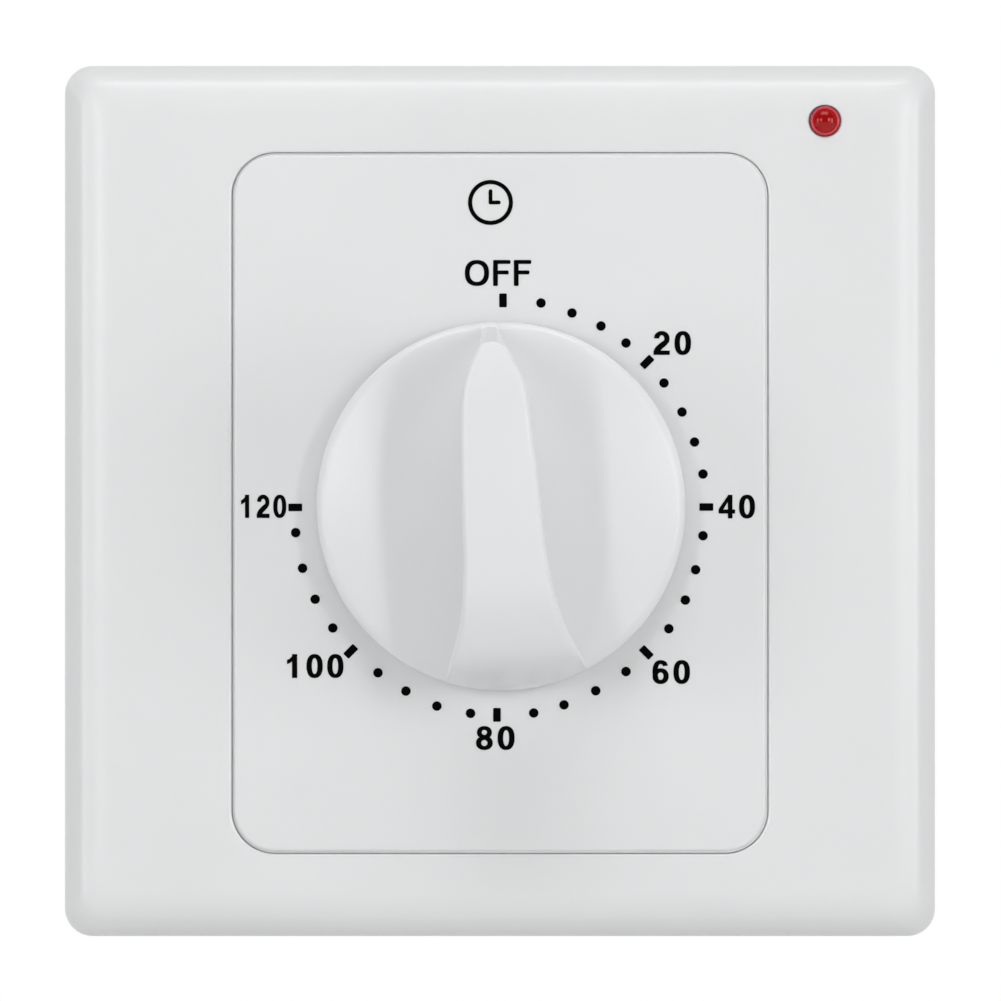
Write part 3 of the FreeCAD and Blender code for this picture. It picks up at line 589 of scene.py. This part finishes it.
def make_mainspring():
    """Coil and its eye round the post, and the tongue that turns with the collet."""
    def on_coil(radius, degrees):
        angle = math.radians(degrees)
        return (AXIS[0] + radius * math.cos(angle), AXIS[1] + radius * math.sin(angle))
    steps = 330
    path = []
    for k in range(steps + 1):
        path.append(on_coil(
            SPRING_INNER_R + SPRING_GROWTH * k / steps, SPRING_DEGREES * k / steps))
    coil = steel_strip("mainspring_coil", path)
    inner, outer = 0.66, 0.98
    outline = (
        (inner, SPRING_LOW), (outer, SPRING_LOW), (outer, SPRING_HIGH), (inner, SPRING_HIGH),
        (inner, SPRING_LOW),
    )
    eye = turned("mainspring_eye", outline, (path[-1][0] + 0.57, path[-1][1] + 0.57), 32)
    sharpen(eye, 40)
    tongue = steel_strip("mainspring_tongue", [on_coil(r, 0.0) for r in (3.66, 3.76, 3.88)])
    return coil, eye, tongue


def ring_band(cx, cy, outer, inner, start=0.0, stop=360.0, steps=48):
    """Quads between two superellipses (a, b, power) over a span of angles."""
    def at(shape, angle):
        a, b, power = shape
        c = math.cos(angle)
        s = math.sin(angle)
        size = (abs(c) ** power + abs(s) ** power) ** (-1 / power)
        return (cx + a * c * size, cy + b * s * size)
    quads = []
    for k in range(steps):
        t0 = math.radians(start + (stop - start) * k / steps)
        t1 = math.radians(start + (stop - start) * (k + 1) / steps)
        quads.append([at(outer, t0), at(outer, t1), at(inner, t1), at(inner, t0)])
    return quads


def soft_bar(x0, y0, x1, y1, r):
    """Bar with small rounded corners, like printed ink."""
    points = []
    corners = (
        (x1 - r, y1 - r, 0), (x0 + r, y1 - r, 90), (x0 + r, y0 + r, 180), (x1 - r, y0 + r, 270))
    for cx, cy, start in corners:
        for k in range(5):
            angle = math.radians(start + 90 * k / 4)
            points.append((cx + r * math.cos(angle), cy + r * math.sin(angle)))
    return [points]


def glyph(char):
    """Polygons of a bold plain figure or letter on its base line.

    Its unit is about a pixel of the photograph: figures are some 24 high, and
    the letters O and F are 26.
    """
    if char == "0":
        return ring_band(8.1, 11.85, (7.9, 11.9, 2.35), (2.75, 7.9, 2.2))
    if char == "1":
        flag = [[(6.9, 16.8), (8.6, 23.7), (7.3, 23.7), (5.9, 21.0), (3.9, 19.1), (1.4, 17.9),
                 (1.4, 13.6), (4.3, 14.9)]]
        return soft_bar(6.3, 0, 11.4, 23.7, 0.5) + flag
    if char == "2":
        hook = ring_band(8.2, 16.1, (7.5, 7.75, 2.1), (2.5, 3.5, 2.0), -32, 176, 40)
        sweep = [[(0.3, 3.2), (0.9, 5.4), (2.5, 8.0), (5.2, 10.6), (8.2, 13.1), (10.3, 14.2),
                  (14.7, 12.6), (13.3, 10.4), (11.0, 8.2), (8.4, 6.0), (7.3, 4.6), (6.9, 3.6)]]
        return soft_bar(0.3, 0, 15.9, 4.3, 0.4) + hook + sweep
    if char == "4":
        slope = [[(0.2, 5.2), (0.2, 9.2), (9.9, 23.7), (13.4, 23.7), (9.6, 17.0), (4.7, 8.9)]]
        return soft_bar(9.3, 0, 13.9, 23.7, 0.4) + soft_bar(0.2, 4.9, 16.5, 9.0, 0.4) + slope
    if char == "6":
        bowl = ring_band(8.2, 7.7, (7.7, 7.85, 2.15), (2.75, 3.7, 2.1))
        back = ring_band(8.2, 11.85, (7.8, 11.9, 2.3), (2.8, 7.9, 2.2), 62, 228, 40)
        beak = [[(9.4, 19.9), (11.6, 23.2), (13.9, 21.6), (15.2, 18.2), (10.4, 17.6), (10.0, 19.0)]]
        return bowl + back + beak
    if char == "8":
        top = ring_band(8.1, 17.4, (7.0, 6.35, 2.1), (2.45, 2.5, 2.0))
        low = ring_band(8.1, 6.9, (7.8, 7.0, 2.15), (2.9, 3.0, 2.0))
        return top + low
    if char == "O":
        return ring_band(12.1, 13.0, (12.1, 13.0, 2.35), (7.2, 8.9, 2.2))
    stem = soft_bar(0, 0, 4.8, 26.0, 1.0)
    return stem + soft_bar(0, 22.0, 17.4, 26.0, 1.2) + soft_bar(0, 11.6, 15.6, 15.5, 1.2)


def turned_left(polygon):
    """The polygon with its corners in counterclockwise order."""
    area = 0.0
    for (x0, y0), (x1, y1) in zip(polygon, polygon[1:] + polygon[:1]):
        area += x0 * y1 - x1 * y0
    return polygon if area > 0 else polygon[::-1]


def ink_piece(name, polygons):
    """One thin printed piece on the dial from overlapping polygons in millimetres."""
    points = []
    outlines = []
    for polygon in polygons:
        start = len(points)
        points += [Vector(p) for p in turned_left(polygon)]
        outlines.append(list(range(start, len(points))))
    flat, _, areas, _, _, sources = geometry.delaunay_2d_cdt(points, [], outlines, 1, 1e-4)
    kept = [list(area) for area, source in zip(areas, sources) if source]
    edges = {}
    for area in kept:
        for k in range(len(area)):
            pair = (area[k], area[(k + 1) % len(area)])
            key = (min(pair), max(pair))
            edges.setdefault(key, []).append(pair)
    verts = [(p.x, p.y, z) for z in (DIAL_FRONT, DIAL_FRONT + INK) for p in flat]
    shift = len(flat)
    faces = [[i + shift for i in area] for area in kept]
    faces += [area[::-1] for area in kept]
    for pairs in edges.values():
        if len(pairs) == 1:
            a, b = pairs[0]
            faces.append([a, b, b + shift, a + shift])
    return new_object(name, verts, faces, False)


def written(text, left, right, top, base):
    """Polygons of a word fitted to a box of the photograph, in pixels."""
    steps = OFF_STEPS if text == "OFF" else [FIGURE_STEP * k for k in range(len(text))]
    shapes = []
    for char, step in zip(text, steps):
        for polygon in glyph(char):
            shapes.append([(x + step, y) for x, y in polygon])
    xs = [x for polygon in shapes for x, _ in polygon]
    ys = [y for polygon in shapes for _, y in polygon]
    wide = (right - left) / (max(xs) - min(xs))
    tall = (base - top) / (max(ys) - min(ys))
    polygons = []
    for polygon in shapes:
        polygons.append([
            from_photo(left + (x - min(xs)) * wide, base - (y - min(ys)) * tall)
            for x, y in polygon
        ])
    return polygons


def tick(angle_deg, px, py):
    """Major mark: a short bar that points at the scale's centre."""
    x, y = from_photo(px, py)
    angle = math.radians(90 - angle_deg)
    along = Vector((math.cos(angle), math.sin(angle)))
    side = Vector((-along.y, along.x))
    centre = Vector((x, y))
    corners = []
    r = TICK_CORNER
    for sx, sy, start in ((1, 1, 0), (-1, 1, 90), (-1, -1, 180), (1, -1, 270)):
        for k in range(4):
            turn = math.radians(start + 90 * k / 3)
            u = sx * (TICK_HALF_LENGTH - r) + r * math.cos(turn)
            v = sy * (TICK_HALF_WIDTH - r) + r * math.sin(turn)
            corners.append(tuple(centre + along * u + side * v))
    return corners


def dot(px, py):
    """Minor mark: a round dot."""
    x, y = from_photo(px, py)
    points = []
    for k in range(24):
        angle = 2 * math.pi * k / 24
        points.append((x + DOT_R * math.cos(angle), y + DOT_R * math.sin(angle)))
    return points


def make_scale():
    """Seven major marks 45 degrees apart, with four dots in each gap."""
    ticks = (
        (503, 300.4), (647, 362), (706.3, 507), (646.3, 652.4),
        (497, 714.8), (350.8, 651.3), (295.3, 507.4),
    )
    marks = [tick(45 * k, px, py) for k, (px, py) in enumerate(ticks)]
    dots = (
        (541, 303), (572, 313), (601, 326), (626, 343),
        (664, 383), (682, 412), (694.5, 442), (703, 474),
        (703, 535.7), (695.6, 569.7), (685.3, 600), (668.8, 628.7),
        (626, 671.5), (595.7, 690.7), (564, 704.8), (533.7, 712.9),
        (470.6, 713.3), (436.9, 706), (405.9, 691), (378, 672.7),
        (332.8, 627.9), (315.2, 599.2), (302.6, 568.2), (295.7, 532.6),
    )
    marks += [dot(px, py) for px, py in dots]
    return ink_piece("dial_scale", marks)


def make_numerals():
    """The scale's numbers, each fitted to its box in the photograph."""
    pieces = []
    for text, left, right, top, base in (
        ("20", 653.5, 691.0, 331.0, 355.0), ("40", 718.6, 755.0, 494.7, 518.5),
        ("60", 652.4, 690.0, 660.0, 684.0), ("80", 476.0, 514.6, 726.0, 750.0),
        ("100", 287.0, 343.5, 654.0, 678.0), ("120", 241.0, 286.3, 494.6, 518.0),
    ):
        pieces.append(ink_piece("numeral_" + text, written(text, left, right, top, base)))
    return pieces


def make_off_word():
    """The word over the scale's first mark."""
    return ink_piece("off_word", written("OFF", 464.8, 531.3, 260.0, 286.0))


def make_clock_sign():
    """Plain clock sign at the dial's top: a ring and two hands."""
    cx, cy = 490.5, 202.5
    shapes = ring_band(0, 0, (22.5, 22.5, 2.0), (18.3, 18.3, 2.0), 0, 360, 72)
    shapes += soft_bar(-1.9, -1.9, 1.9, 13.2, 1.7)
    shapes += soft_bar(-1.9, -1.9, 10.2, 1.9, 1.7)
    polygons = [[from_photo(cx + x, cy - y) for x, y in polygon] for polygon in shapes]
    return ink_piece("clock_sign", polygons)


def add_node(nodes, kind, values):
    """New node with the given values on its named inputs."""
    node = nodes.new(kind)
    for label, value in values.items():
        node.inputs[label].default_value = value
    return node


def math_output(nodes, links, operation, *values):
    """Output of a new math node whose inputs are numbers or other outputs."""
    node = nodes.new("ShaderNodeMath")
    node.operation = operation
    for socket, value in zip(node.inputs, values):
        if isinstance(value, float):
            socket.default_value = value
        else:
            links.new(value, socket)
    return node.outputs[0]


def shade_group(name, outputs):
    """Empty node group with a Scale input and the listed outputs."""
    group = bpy.data.node_groups.new(name, "ShaderNodeTree")
    socket = group.interface.new_socket("Scale", in_out="INPUT", socket_type="NodeSocketFloat")
    socket.default_value = 1.0
    for label, kind in outputs:
        group.interface.new_socket(label, in_out="OUTPUT", socket_type=kind)
    return group


def moulded_group():
    """Moulded plastic: a slow tone drift, fine grain and the normal for it."""
    group = shade_group("moulded_surface", (
        ("Tone", "NodeSocketFloat"), ("Grain", "NodeSocketFloat"), ("Normal", "NodeSocketVector")))
    nodes = group.nodes
    links = group.links
    entry = nodes.new("NodeGroupInput")
    leave = nodes.new("NodeGroupOutput")
    coord = nodes.new("ShaderNodeTexCoord")
    slow = add_node(nodes, "ShaderNodeTexNoise", {"Scale": 38.0, "Detail": 3.0})
    fine = add_node(nodes, "ShaderNodeTexNoise", {"Detail": 2.0, "Roughness": 0.55})
    bump = add_node(nodes, "ShaderNodeBump", {"Strength": 0.05, "Distance": 0.00003})
    fine_scale = math_output(nodes, links, "MULTIPLY", entry.outputs["Scale"], 3800.0)
    links.new(coord.outputs["Object"], slow.inputs["Vector"])
    links.new(coord.outputs["Object"], fine.inputs["Vector"])
    links.new(fine_scale, fine.inputs["Scale"])
    links.new(fine.outputs["Fac"], bump.inputs["Height"])
    links.new(slow.outputs["Fac"], leave.inputs["Tone"])
    links.new(fine.outputs["Fac"], leave.inputs["Grain"])
    links.new(bump.outputs["Normal"], leave.inputs["Normal"])
    return group


def machined_group():
    """Machined metal: stretched tool marks, small stains and their normal."""
    group = shade_group("machined_surface", (
        ("Marks", "NodeSocketFloat"), ("Stain", "NodeSocketFloat"), ("Normal", "NodeSocketVector")))
    nodes = group.nodes
    links = group.links
    entry = nodes.new("NodeGroupInput")
    leave = nodes.new("NodeGroupOutput")
    coord = nodes.new("ShaderNodeTexCoord")
    stretch = add_node(nodes, "ShaderNodeMapping", {"Scale": (1.0, 1.0, 14.0)})
    marks = add_node(nodes, "ShaderNodeTexNoise", {"Detail": 4.0})
    stain = add_node(nodes, "ShaderNodeTexNoise", {"Scale": 160.0, "Detail": 5.0})
    bump = add_node(nodes, "ShaderNodeBump", {"Strength": 0.12, "Distance": 0.00002})
    marks_scale = math_output(nodes, links, "MULTIPLY", entry.outputs["Scale"], 900.0)
    links.new(coord.outputs["Object"], stretch.inputs["Vector"])
    links.new(stretch.outputs["Vector"], marks.inputs["Vector"])
    links.new(marks_scale, marks.inputs["Scale"])
    links.new(coord.outputs["Object"], stain.inputs["Vector"])
    links.new(marks.outputs["Fac"], bump.inputs["Height"])
    links.new(marks.outputs["Fac"], leave.inputs["Marks"])
    links.new(stain.outputs["Fac"], leave.inputs["Stain"])
    links.new(bump.outputs["Normal"], leave.inputs["Normal"])
    return group


MOULDED = moulded_group()
MACHINED = machined_group()


def start_material(name, group, scale):
    """Material whose shader takes its normal from the surface group."""
    material = bpy.data.materials.new(name)
    material.use_nodes = True
    nodes = material.node_tree.nodes
    links = material.node_tree.links
    shader = nodes["Principled BSDF"]
    surface = nodes.new("ShaderNodeGroup")
    surface.node_tree = group
    surface.inputs["Scale"].default_value = scale
    links.new(surface.outputs["Normal"], shader.inputs["Normal"])
    return material, nodes, links, shader, surface


def colour_between(nodes, links, source, low, high, shader):
    """Base colour that drifts between two colours with a 0..1 source."""
    ramp = nodes.new("ShaderNodeValToRGB")
    elements = ramp.color_ramp.elements
    for element, position, colour in zip(elements, (0.32, 0.68), (low, high)):
        element.position = position
        element.color = (*colour, 1)
    links.new(source, ramp.inputs["Fac"])
    links.new(ramp.outputs["Color"], shader.inputs["Base Color"])


def rough_between(nodes, links, source, rough, shader):
    """Roughness that varies between two values with a 0..1 source."""
    span = add_node(nodes, "ShaderNodeMapRange", {"To Min": rough[0], "To Max": rough[1]})
    links.new(source, span.inputs["Value"])
    links.new(span.outputs["Result"], shader.inputs["Roughness"])


def plastic(name, low, high, rough, grain, scatter=0.0):
    """Moulded plastic between two colours; scatter lets light soak in a little."""
    material, nodes, links, shader, surface = start_material(name, MOULDED, grain)
    colour_between(nodes, links, surface.outputs["Tone"], low, high, shader)
    rough_between(nodes, links, surface.outputs["Grain"], rough, shader)
    shader.inputs["IOR"].default_value = 1.5
    if scatter:
        shader.inputs["Subsurface Weight"].default_value = scatter
        shader.inputs["Subsurface Radius"].default_value = (0.9, 0.8, 0.7)
        shader.inputs["Subsurface Scale"].default_value = 0.0008
    return material


def metal(name, low, high, rough, scale=1.0):
    """Machined metal between two colours, with tool marks in its roughness."""
    material, nodes, links, shader, surface = start_material(name, MACHINED, scale)
    colour_between(nodes, links, surface.outputs["Stain"], low, high, shader)
    rough_between(nodes, links, surface.outputs["Marks"], rough, shader)
    shader.inputs["Metallic"].default_value = 1.0
    return material


def lamp_red():
    """Clear-coated red lens coloured by its distance from the lamp's middle.

    The dome is deep red; the paler collar round it is painted light and the dark rim is painted
    shade.
    """
    material, nodes, links, shader, _ = start_material("lamp_red", MOULDED, 0.6)
    coord = nodes.new("ShaderNodeTexCoord")
    shift = nodes.new("ShaderNodeVectorMath")
    shift.operation = "SUBTRACT"
    shift.inputs[1].default_value = to_frame(LAMP[0], LAMP[1], 0.0)
    flatten = nodes.new("ShaderNodeVectorMath")
    flatten.operation = "MULTIPLY"
    flatten.inputs[1].default_value = (1.0, 0.0, 1.0)
    length = nodes.new("ShaderNodeVectorMath")
    length.operation = "LENGTH"
    span = add_node(nodes, "ShaderNodeMapRange", {"From Max": 0.0016})
    ramp = nodes.new("ShaderNodeValToRGB")
    elements = ramp.color_ramp.elements
    elements[0].position = 0.0
    elements[0].color = (0.32, 0.0, 0.0, 1)
    # the outer end of the ramp is the rim's painted shade
    elements[1].position = 1.0
    elements[1].color = (0.13, 0.010, 0.016, 1)
    # the dome stays red up to 0.70; 0.74 to 0.86 is the collar's painted light and 0.90 the rim's
    # painted shade
    for position, colour in (
        (0.70, (0.37, 0.001, 0.002, 1)), (0.74, (0.54, 0.030, 0.040, 1)),
        (0.79, (0.64, 0.070, 0.090, 1)), (0.86, (0.58, 0.060, 0.080, 1)),
        (0.90, (0.22, 0.012, 0.020, 1)),
    ):
        elements.new(position).color = colour
    links.new(coord.outputs["Object"], shift.inputs[0])
    links.new(shift.outputs["Vector"], flatten.inputs[0])
    links.new(flatten.outputs["Vector"], length.inputs[0])
    links.new(length.outputs["Value"], span.inputs["Value"])
    links.new(span.outputs["Result"], ramp.inputs["Fac"])
    links.new(ramp.outputs["Color"], shader.inputs["Base Color"])
    shader.inputs["Roughness"].default_value = 0.22
    shader.inputs["Specular IOR Level"].default_value = 0.05
    shader.inputs["Coat Weight"].default_value = 0.55
    shader.inputs["Coat Roughness"].default_value = 0.17
    return material


def printed_ink():
    """Matt black ink with a faint grain."""
    material, nodes, links, shader, surface = start_material("printed_ink", MOULDED, 1.6)
    darkest = (0.001, 0.001, 0.001)
    dark = (0.002, 0.002, 0.002)
    colour_between(nodes, links, surface.outputs["Grain"], darkest, dark, shader)
    shader.inputs["Roughness"].default_value = 0.7
    shader.inputs["Specular IOR Level"].default_value = 0.02
    return material


# darker colour, lighter colour, roughness range, grain and share of scattered light
PLASTICS = {
    "cover_white": ((0.775, 0.780, 0.785), (0.795, 0.800, 0.805), (0.30, 0.36), 1.0, 0.1),
    "dial_white": ((0.770, 0.776, 0.782), (0.790, 0.796, 0.802), (0.34, 0.40), 1.1, 0.1),
    "knob_white": ((0.790, 0.796, 0.805), (0.810, 0.816, 0.825), (0.27, 0.33), 0.9, 0.1),
    "base_plastic": ((0.70, 0.71, 0.705), (0.735, 0.745, 0.74), (0.42, 0.52), 0.7),
    "housing_plastic": ((0.66, 0.665, 0.65), (0.70, 0.705, 0.69), (0.45, 0.58), 0.5),
    "terminal_plastic": ((0.035, 0.036, 0.038), (0.05, 0.051, 0.053), (0.4, 0.5), 0.6),
    "cam_plastic": ((0.62, 0.60, 0.54), (0.67, 0.65, 0.59), (0.3, 0.4), 0.8),
    "insulation": ((0.30, 0.22, 0.13), (0.36, 0.27, 0.17), (0.5, 0.65), 0.4),
    "sleeve": ((0.60, 0.59, 0.52), (0.66, 0.65, 0.58), (0.45, 0.55), 0.8),
    "lead_red": ((0.40, 0.012, 0.01), (0.46, 0.018, 0.014), (0.35, 0.45), 0.8),
    "lead_black": ((0.012, 0.012, 0.013), (0.02, 0.02, 0.021), (0.35, 0.45), 0.8),
}
# darker colour, lighter colour, roughness range and scale of the tool marks
METALS = {
    "movement_brass": ((0.62, 0.42, 0.15), (0.76, 0.56, 0.24), (0.22, 0.4)),
    "contact_copper": ((0.72, 0.36, 0.20), (0.83, 0.46, 0.27), (0.22, 0.4)),
    "contact_silver": ((0.72, 0.71, 0.68), (0.86, 0.85, 0.82), (0.18, 0.3)),
    "arbor_steel": ((0.50, 0.50, 0.51), (0.62, 0.62, 0.63), (0.18, 0.32)),
    "spring_steel": ((0.24, 0.26, 0.31), (0.36, 0.38, 0.42), (0.25, 0.4), 1.4),
    "screw_zinc": ((0.56, 0.57, 0.56), (0.68, 0.68, 0.66), (0.3, 0.45)),
}
MATERIALS = {"lamp_red": lamp_red(), "printed_ink": printed_ink()}
for slot_name, looks in PLASTICS.items():
    MATERIALS[slot_name] = plastic(slot_name, *looks)
for slot_name, looks in METALS.items():
    MATERIALS[slot_name] = metal(slot_name, *looks)

# width in millimetres of the soft edge on CAD pieces seen from behind
SOFTENED = {
    "rear_housing": 0.25, "mounting_plate": 0.2, "housing_screws": 0.1, "terminal_screws": 0.1,
}


def finish_with(obj, look):
    """Gives a piece one of the materials."""
    obj.data.materials.clear()
    obj.data.materials.append(MATERIALS[look])


def dress_frame():
    """Gives each CAD node the material of its slot in the record, and soft edges."""
    slots = {item["node"]: item["material_slot"] for item in frame["record"]["subparts"]}
    for name, obj in frame["nodes"].items():
        material = MATERIALS[slots[name]]
        if obj.material_slots:
            for place in obj.material_slots:
                place.material = material
        else:
            obj.data.materials.append(material)
        sharpen(obj, 32)
        if name in SOFTENED:
            edge = obj.modifiers.new("soft_edge", "BEVEL")
            edge.width = SOFTENED[name] * MM
            edge.segments = 2
            edge.limit_method = "ANGLE"
            edge.angle_limit = math.radians(50)
            edge.harden_normals = True


def build_pieces():
    """Builds the scene's own pieces, attaches each to the body it rides on and hides the CAD parts
    that some of them take the place of.
    """
    cover = make_cover()
    drill_lamp_hole(cover)
    finish_with(cover, "cover_white")
    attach(cover, "case")
    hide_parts("cover_frame")
    dial = make_dial()
    finish_with(dial, "dial_white")
    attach(dial, "case")
    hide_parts("dial_plate")
    knob = make_knob()
    finish_with(knob, "knob_white")
    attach(knob, "knob_shaft")
    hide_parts("control_knob")
    lamp, legs = make_lamp()
    finish_with(lamp, "lamp_red")
    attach(lamp, "case")
    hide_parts("indicator_lamp")
    for leg in legs:
        finish_with(leg, "screw_zinc")
        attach(leg, "case")
    coil, eye, tongue = make_mainspring()
    for piece, body in ((coil, "case"), (eye, "case"), (tongue, "knob_shaft")):
        finish_with(piece, "spring_steel")
        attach(piece, body)
    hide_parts("mainspring")
    inked = [make_scale(), make_off_word(), make_clock_sign()] + make_numerals()
    for piece in inked:
        finish_with(piece, "printed_ink")
        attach(piece, "case")


# the point in the shared frame that the lights are aimed at
PLATE_FACE = Vector((0.0, -0.009, 0.0))


def soft_light(name, off_axis, around, distance, size, share):
    """Rectangular lamp aimed at the plate.

    off_axis and around give its direction in degrees from the line of sight.
    share is the part of the plate's brightness that it gives. The camera
    doesn't see the lamp itself.
    """
    away = math.radians(off_axis)
    turn = math.radians(around)
    aim = Vector((
        math.sin(away) * math.cos(turn), -math.cos(away), math.sin(away) * math.sin(turn)))
    data = bpy.data.lights.new(name, "AREA")
    data.shape = "RECTANGLE"
    data.size, data.size_y = size
    data.energy = share * (math.pi * distance) ** 2 / math.cos(away)
    light = bpy.data.objects.new(name, data)
    light.location = aim * distance + PLATE_FACE
    light.rotation_euler = (-aim).to_track_quat("-Z", "Y").to_euler()
    light.visible_camera = False
    bpy.context.scene.collection.objects.link(light)


def light_scene():
    """Two strips near the camera, and a tent of three large lights round the plate."""
    soft_light("left_strip", 30, 163, 0.95, (0.09, 0.34), 0.113)
    soft_light("right_strip", 35, 17, 0.95, (0.09, 0.34), 0.122)
    soft_light("left_tent", 59, 178, 0.80, (0.22, 0.50), 0.126)
    soft_light("right_tent", 59, 2, 0.80, (0.22, 0.50), 0.142)
    soft_light("top_tent", 66, 90, 0.62, (0.50, 0.26), 0.164)


def mirrored_rays(nodes, links, path):
    """1 for rays that a surface has mirrored or let through, and 0 for others."""
    return math_output(
        nodes, links, "MAXIMUM", path.outputs["Is Glossy Ray"], path.outputs["Is Transmission Ray"])


def white_world():
    """Even soft light, stronger from behind the plate.

    The camera sees plain white. Mirrored rays see white behind the plate and
    the soft light in front of it, darkened there so that gloss stays low.
    """
    world = bpy.data.worlds.new("studio_world")
    bpy.context.scene.world = world
    world.use_nodes = True
    nodes = world.node_tree.nodes
    links = world.node_tree.links
    nodes.clear()
    leave = nodes.new("ShaderNodeOutputWorld")
    mix = nodes.new("ShaderNodeMixShader")
    soft = nodes.new("ShaderNodeBackground")
    white = add_node(
        nodes, "ShaderNodeBackground", {"Color": (1.0, 1.0, 1.0, 1.0), "Strength": 1.0})
    coord = nodes.new("ShaderNodeTexCoord")
    split = nodes.new("ShaderNodeSeparateXYZ")
    behind = add_node(nodes, "ShaderNodeMapRange", {"From Min": -0.1, "From Max": 0.35})
    level = add_node(nodes, "ShaderNodeMapRange", {"To Min": 0.285, "To Max": 0.44})
    path = nodes.new("ShaderNodeLightPath")
    mirrored = mirrored_rays(nodes, links, path)
    darker = math_output(nodes, links, "MULTIPLY_ADD", mirrored, -0.6, 1.0)
    strength = math_output(nodes, links, "MULTIPLY", level.outputs["Result"], darker)
    shown = math_output(nodes, links, "MULTIPLY", mirrored, behind.outputs["Result"])
    either = math_output(nodes, links, "MAXIMUM", shown, path.outputs["Is Camera Ray"])
    links.new(coord.outputs["Generated"], split.inputs["Vector"])
    links.new(split.outputs["Y"], behind.inputs["Value"])
    links.new(behind.outputs["Result"], level.inputs["Value"])
    links.new(strength, soft.inputs["Strength"])
    links.new(either, mix.inputs["Fac"])
    links.new(soft.outputs["Background"], mix.inputs[1])
    links.new(white.outputs["Background"], mix.inputs[2])
    links.new(mix.outputs["Shader"], leave.inputs["Surface"])


def studio_floor():
    """White floor that glows for the camera and mirrored rays, and still takes a shadow."""
    mesh = bpy.data.meshes.new("studio_floor")
    size = 0.7
    level = -0.12
    corners = [(x * size, y * size, level) for x, y in ((-1, -1), (1, -1), (1, 1), (-1, 1))]
    mesh.from_pydata(corners, [], [(0, 1, 2, 3)])
    floor = bpy.data.objects.new("studio_floor", mesh)
    bpy.context.scene.collection.objects.link(floor)
    material = bpy.data.materials.new("studio_floor")
    material.use_nodes = True
    nodes = material.node_tree.nodes
    links = material.node_tree.links
    shader = nodes["Principled BSDF"]
    shader.inputs["Base Color"].default_value = (0.85, 0.85, 0.85, 1)
    shader.inputs["Roughness"].default_value = 0.9
    glow = add_node(nodes, "ShaderNodeEmission", {"Strength": 1.0})
    mix = nodes.new("ShaderNodeMixShader")
    path = nodes.new("ShaderNodeLightPath")
    mirrored = mirrored_rays(nodes, links, path)
    either = math_output(nodes, links, "MAXIMUM", mirrored, path.outputs["Is Camera Ray"])
    glow_share = math_output(nodes, links, "MULTIPLY", either, 0.85)
    links.new(glow_share, mix.inputs["Fac"])
    links.new(shader.outputs["BSDF"], mix.inputs[1])
    links.new(glow.outputs["Emission"], mix.inputs[2])
    links.new(mix.outputs["Shader"], nodes["Material Output"].inputs["Surface"])
    mesh.materials.append(material)


def set_camera():
    """Long lens on the line of sight, where the photograph's perspective fits."""
    data = bpy.data.cameras.new("photo_camera")
    data.sensor_width = 36.0
    data.lens = 364.0
    data.clip_start = 0.05
    data.clip_end = 10.0
    camera = bpy.data.objects.new("photo_camera", data)
    camera.location = (0.00005, -1.0045, 0.00005)
    camera.rotation_euler = (math.radians(90), 0, 0)
    bpy.context.scene.collection.objects.link(camera)
    bpy.context.scene.camera = camera


dress_frame()
build_pieces()
white_world()
studio_floor()
light_scene()
set_camera()
bpy.context.scene.view_settings.view_transform = "Standard"
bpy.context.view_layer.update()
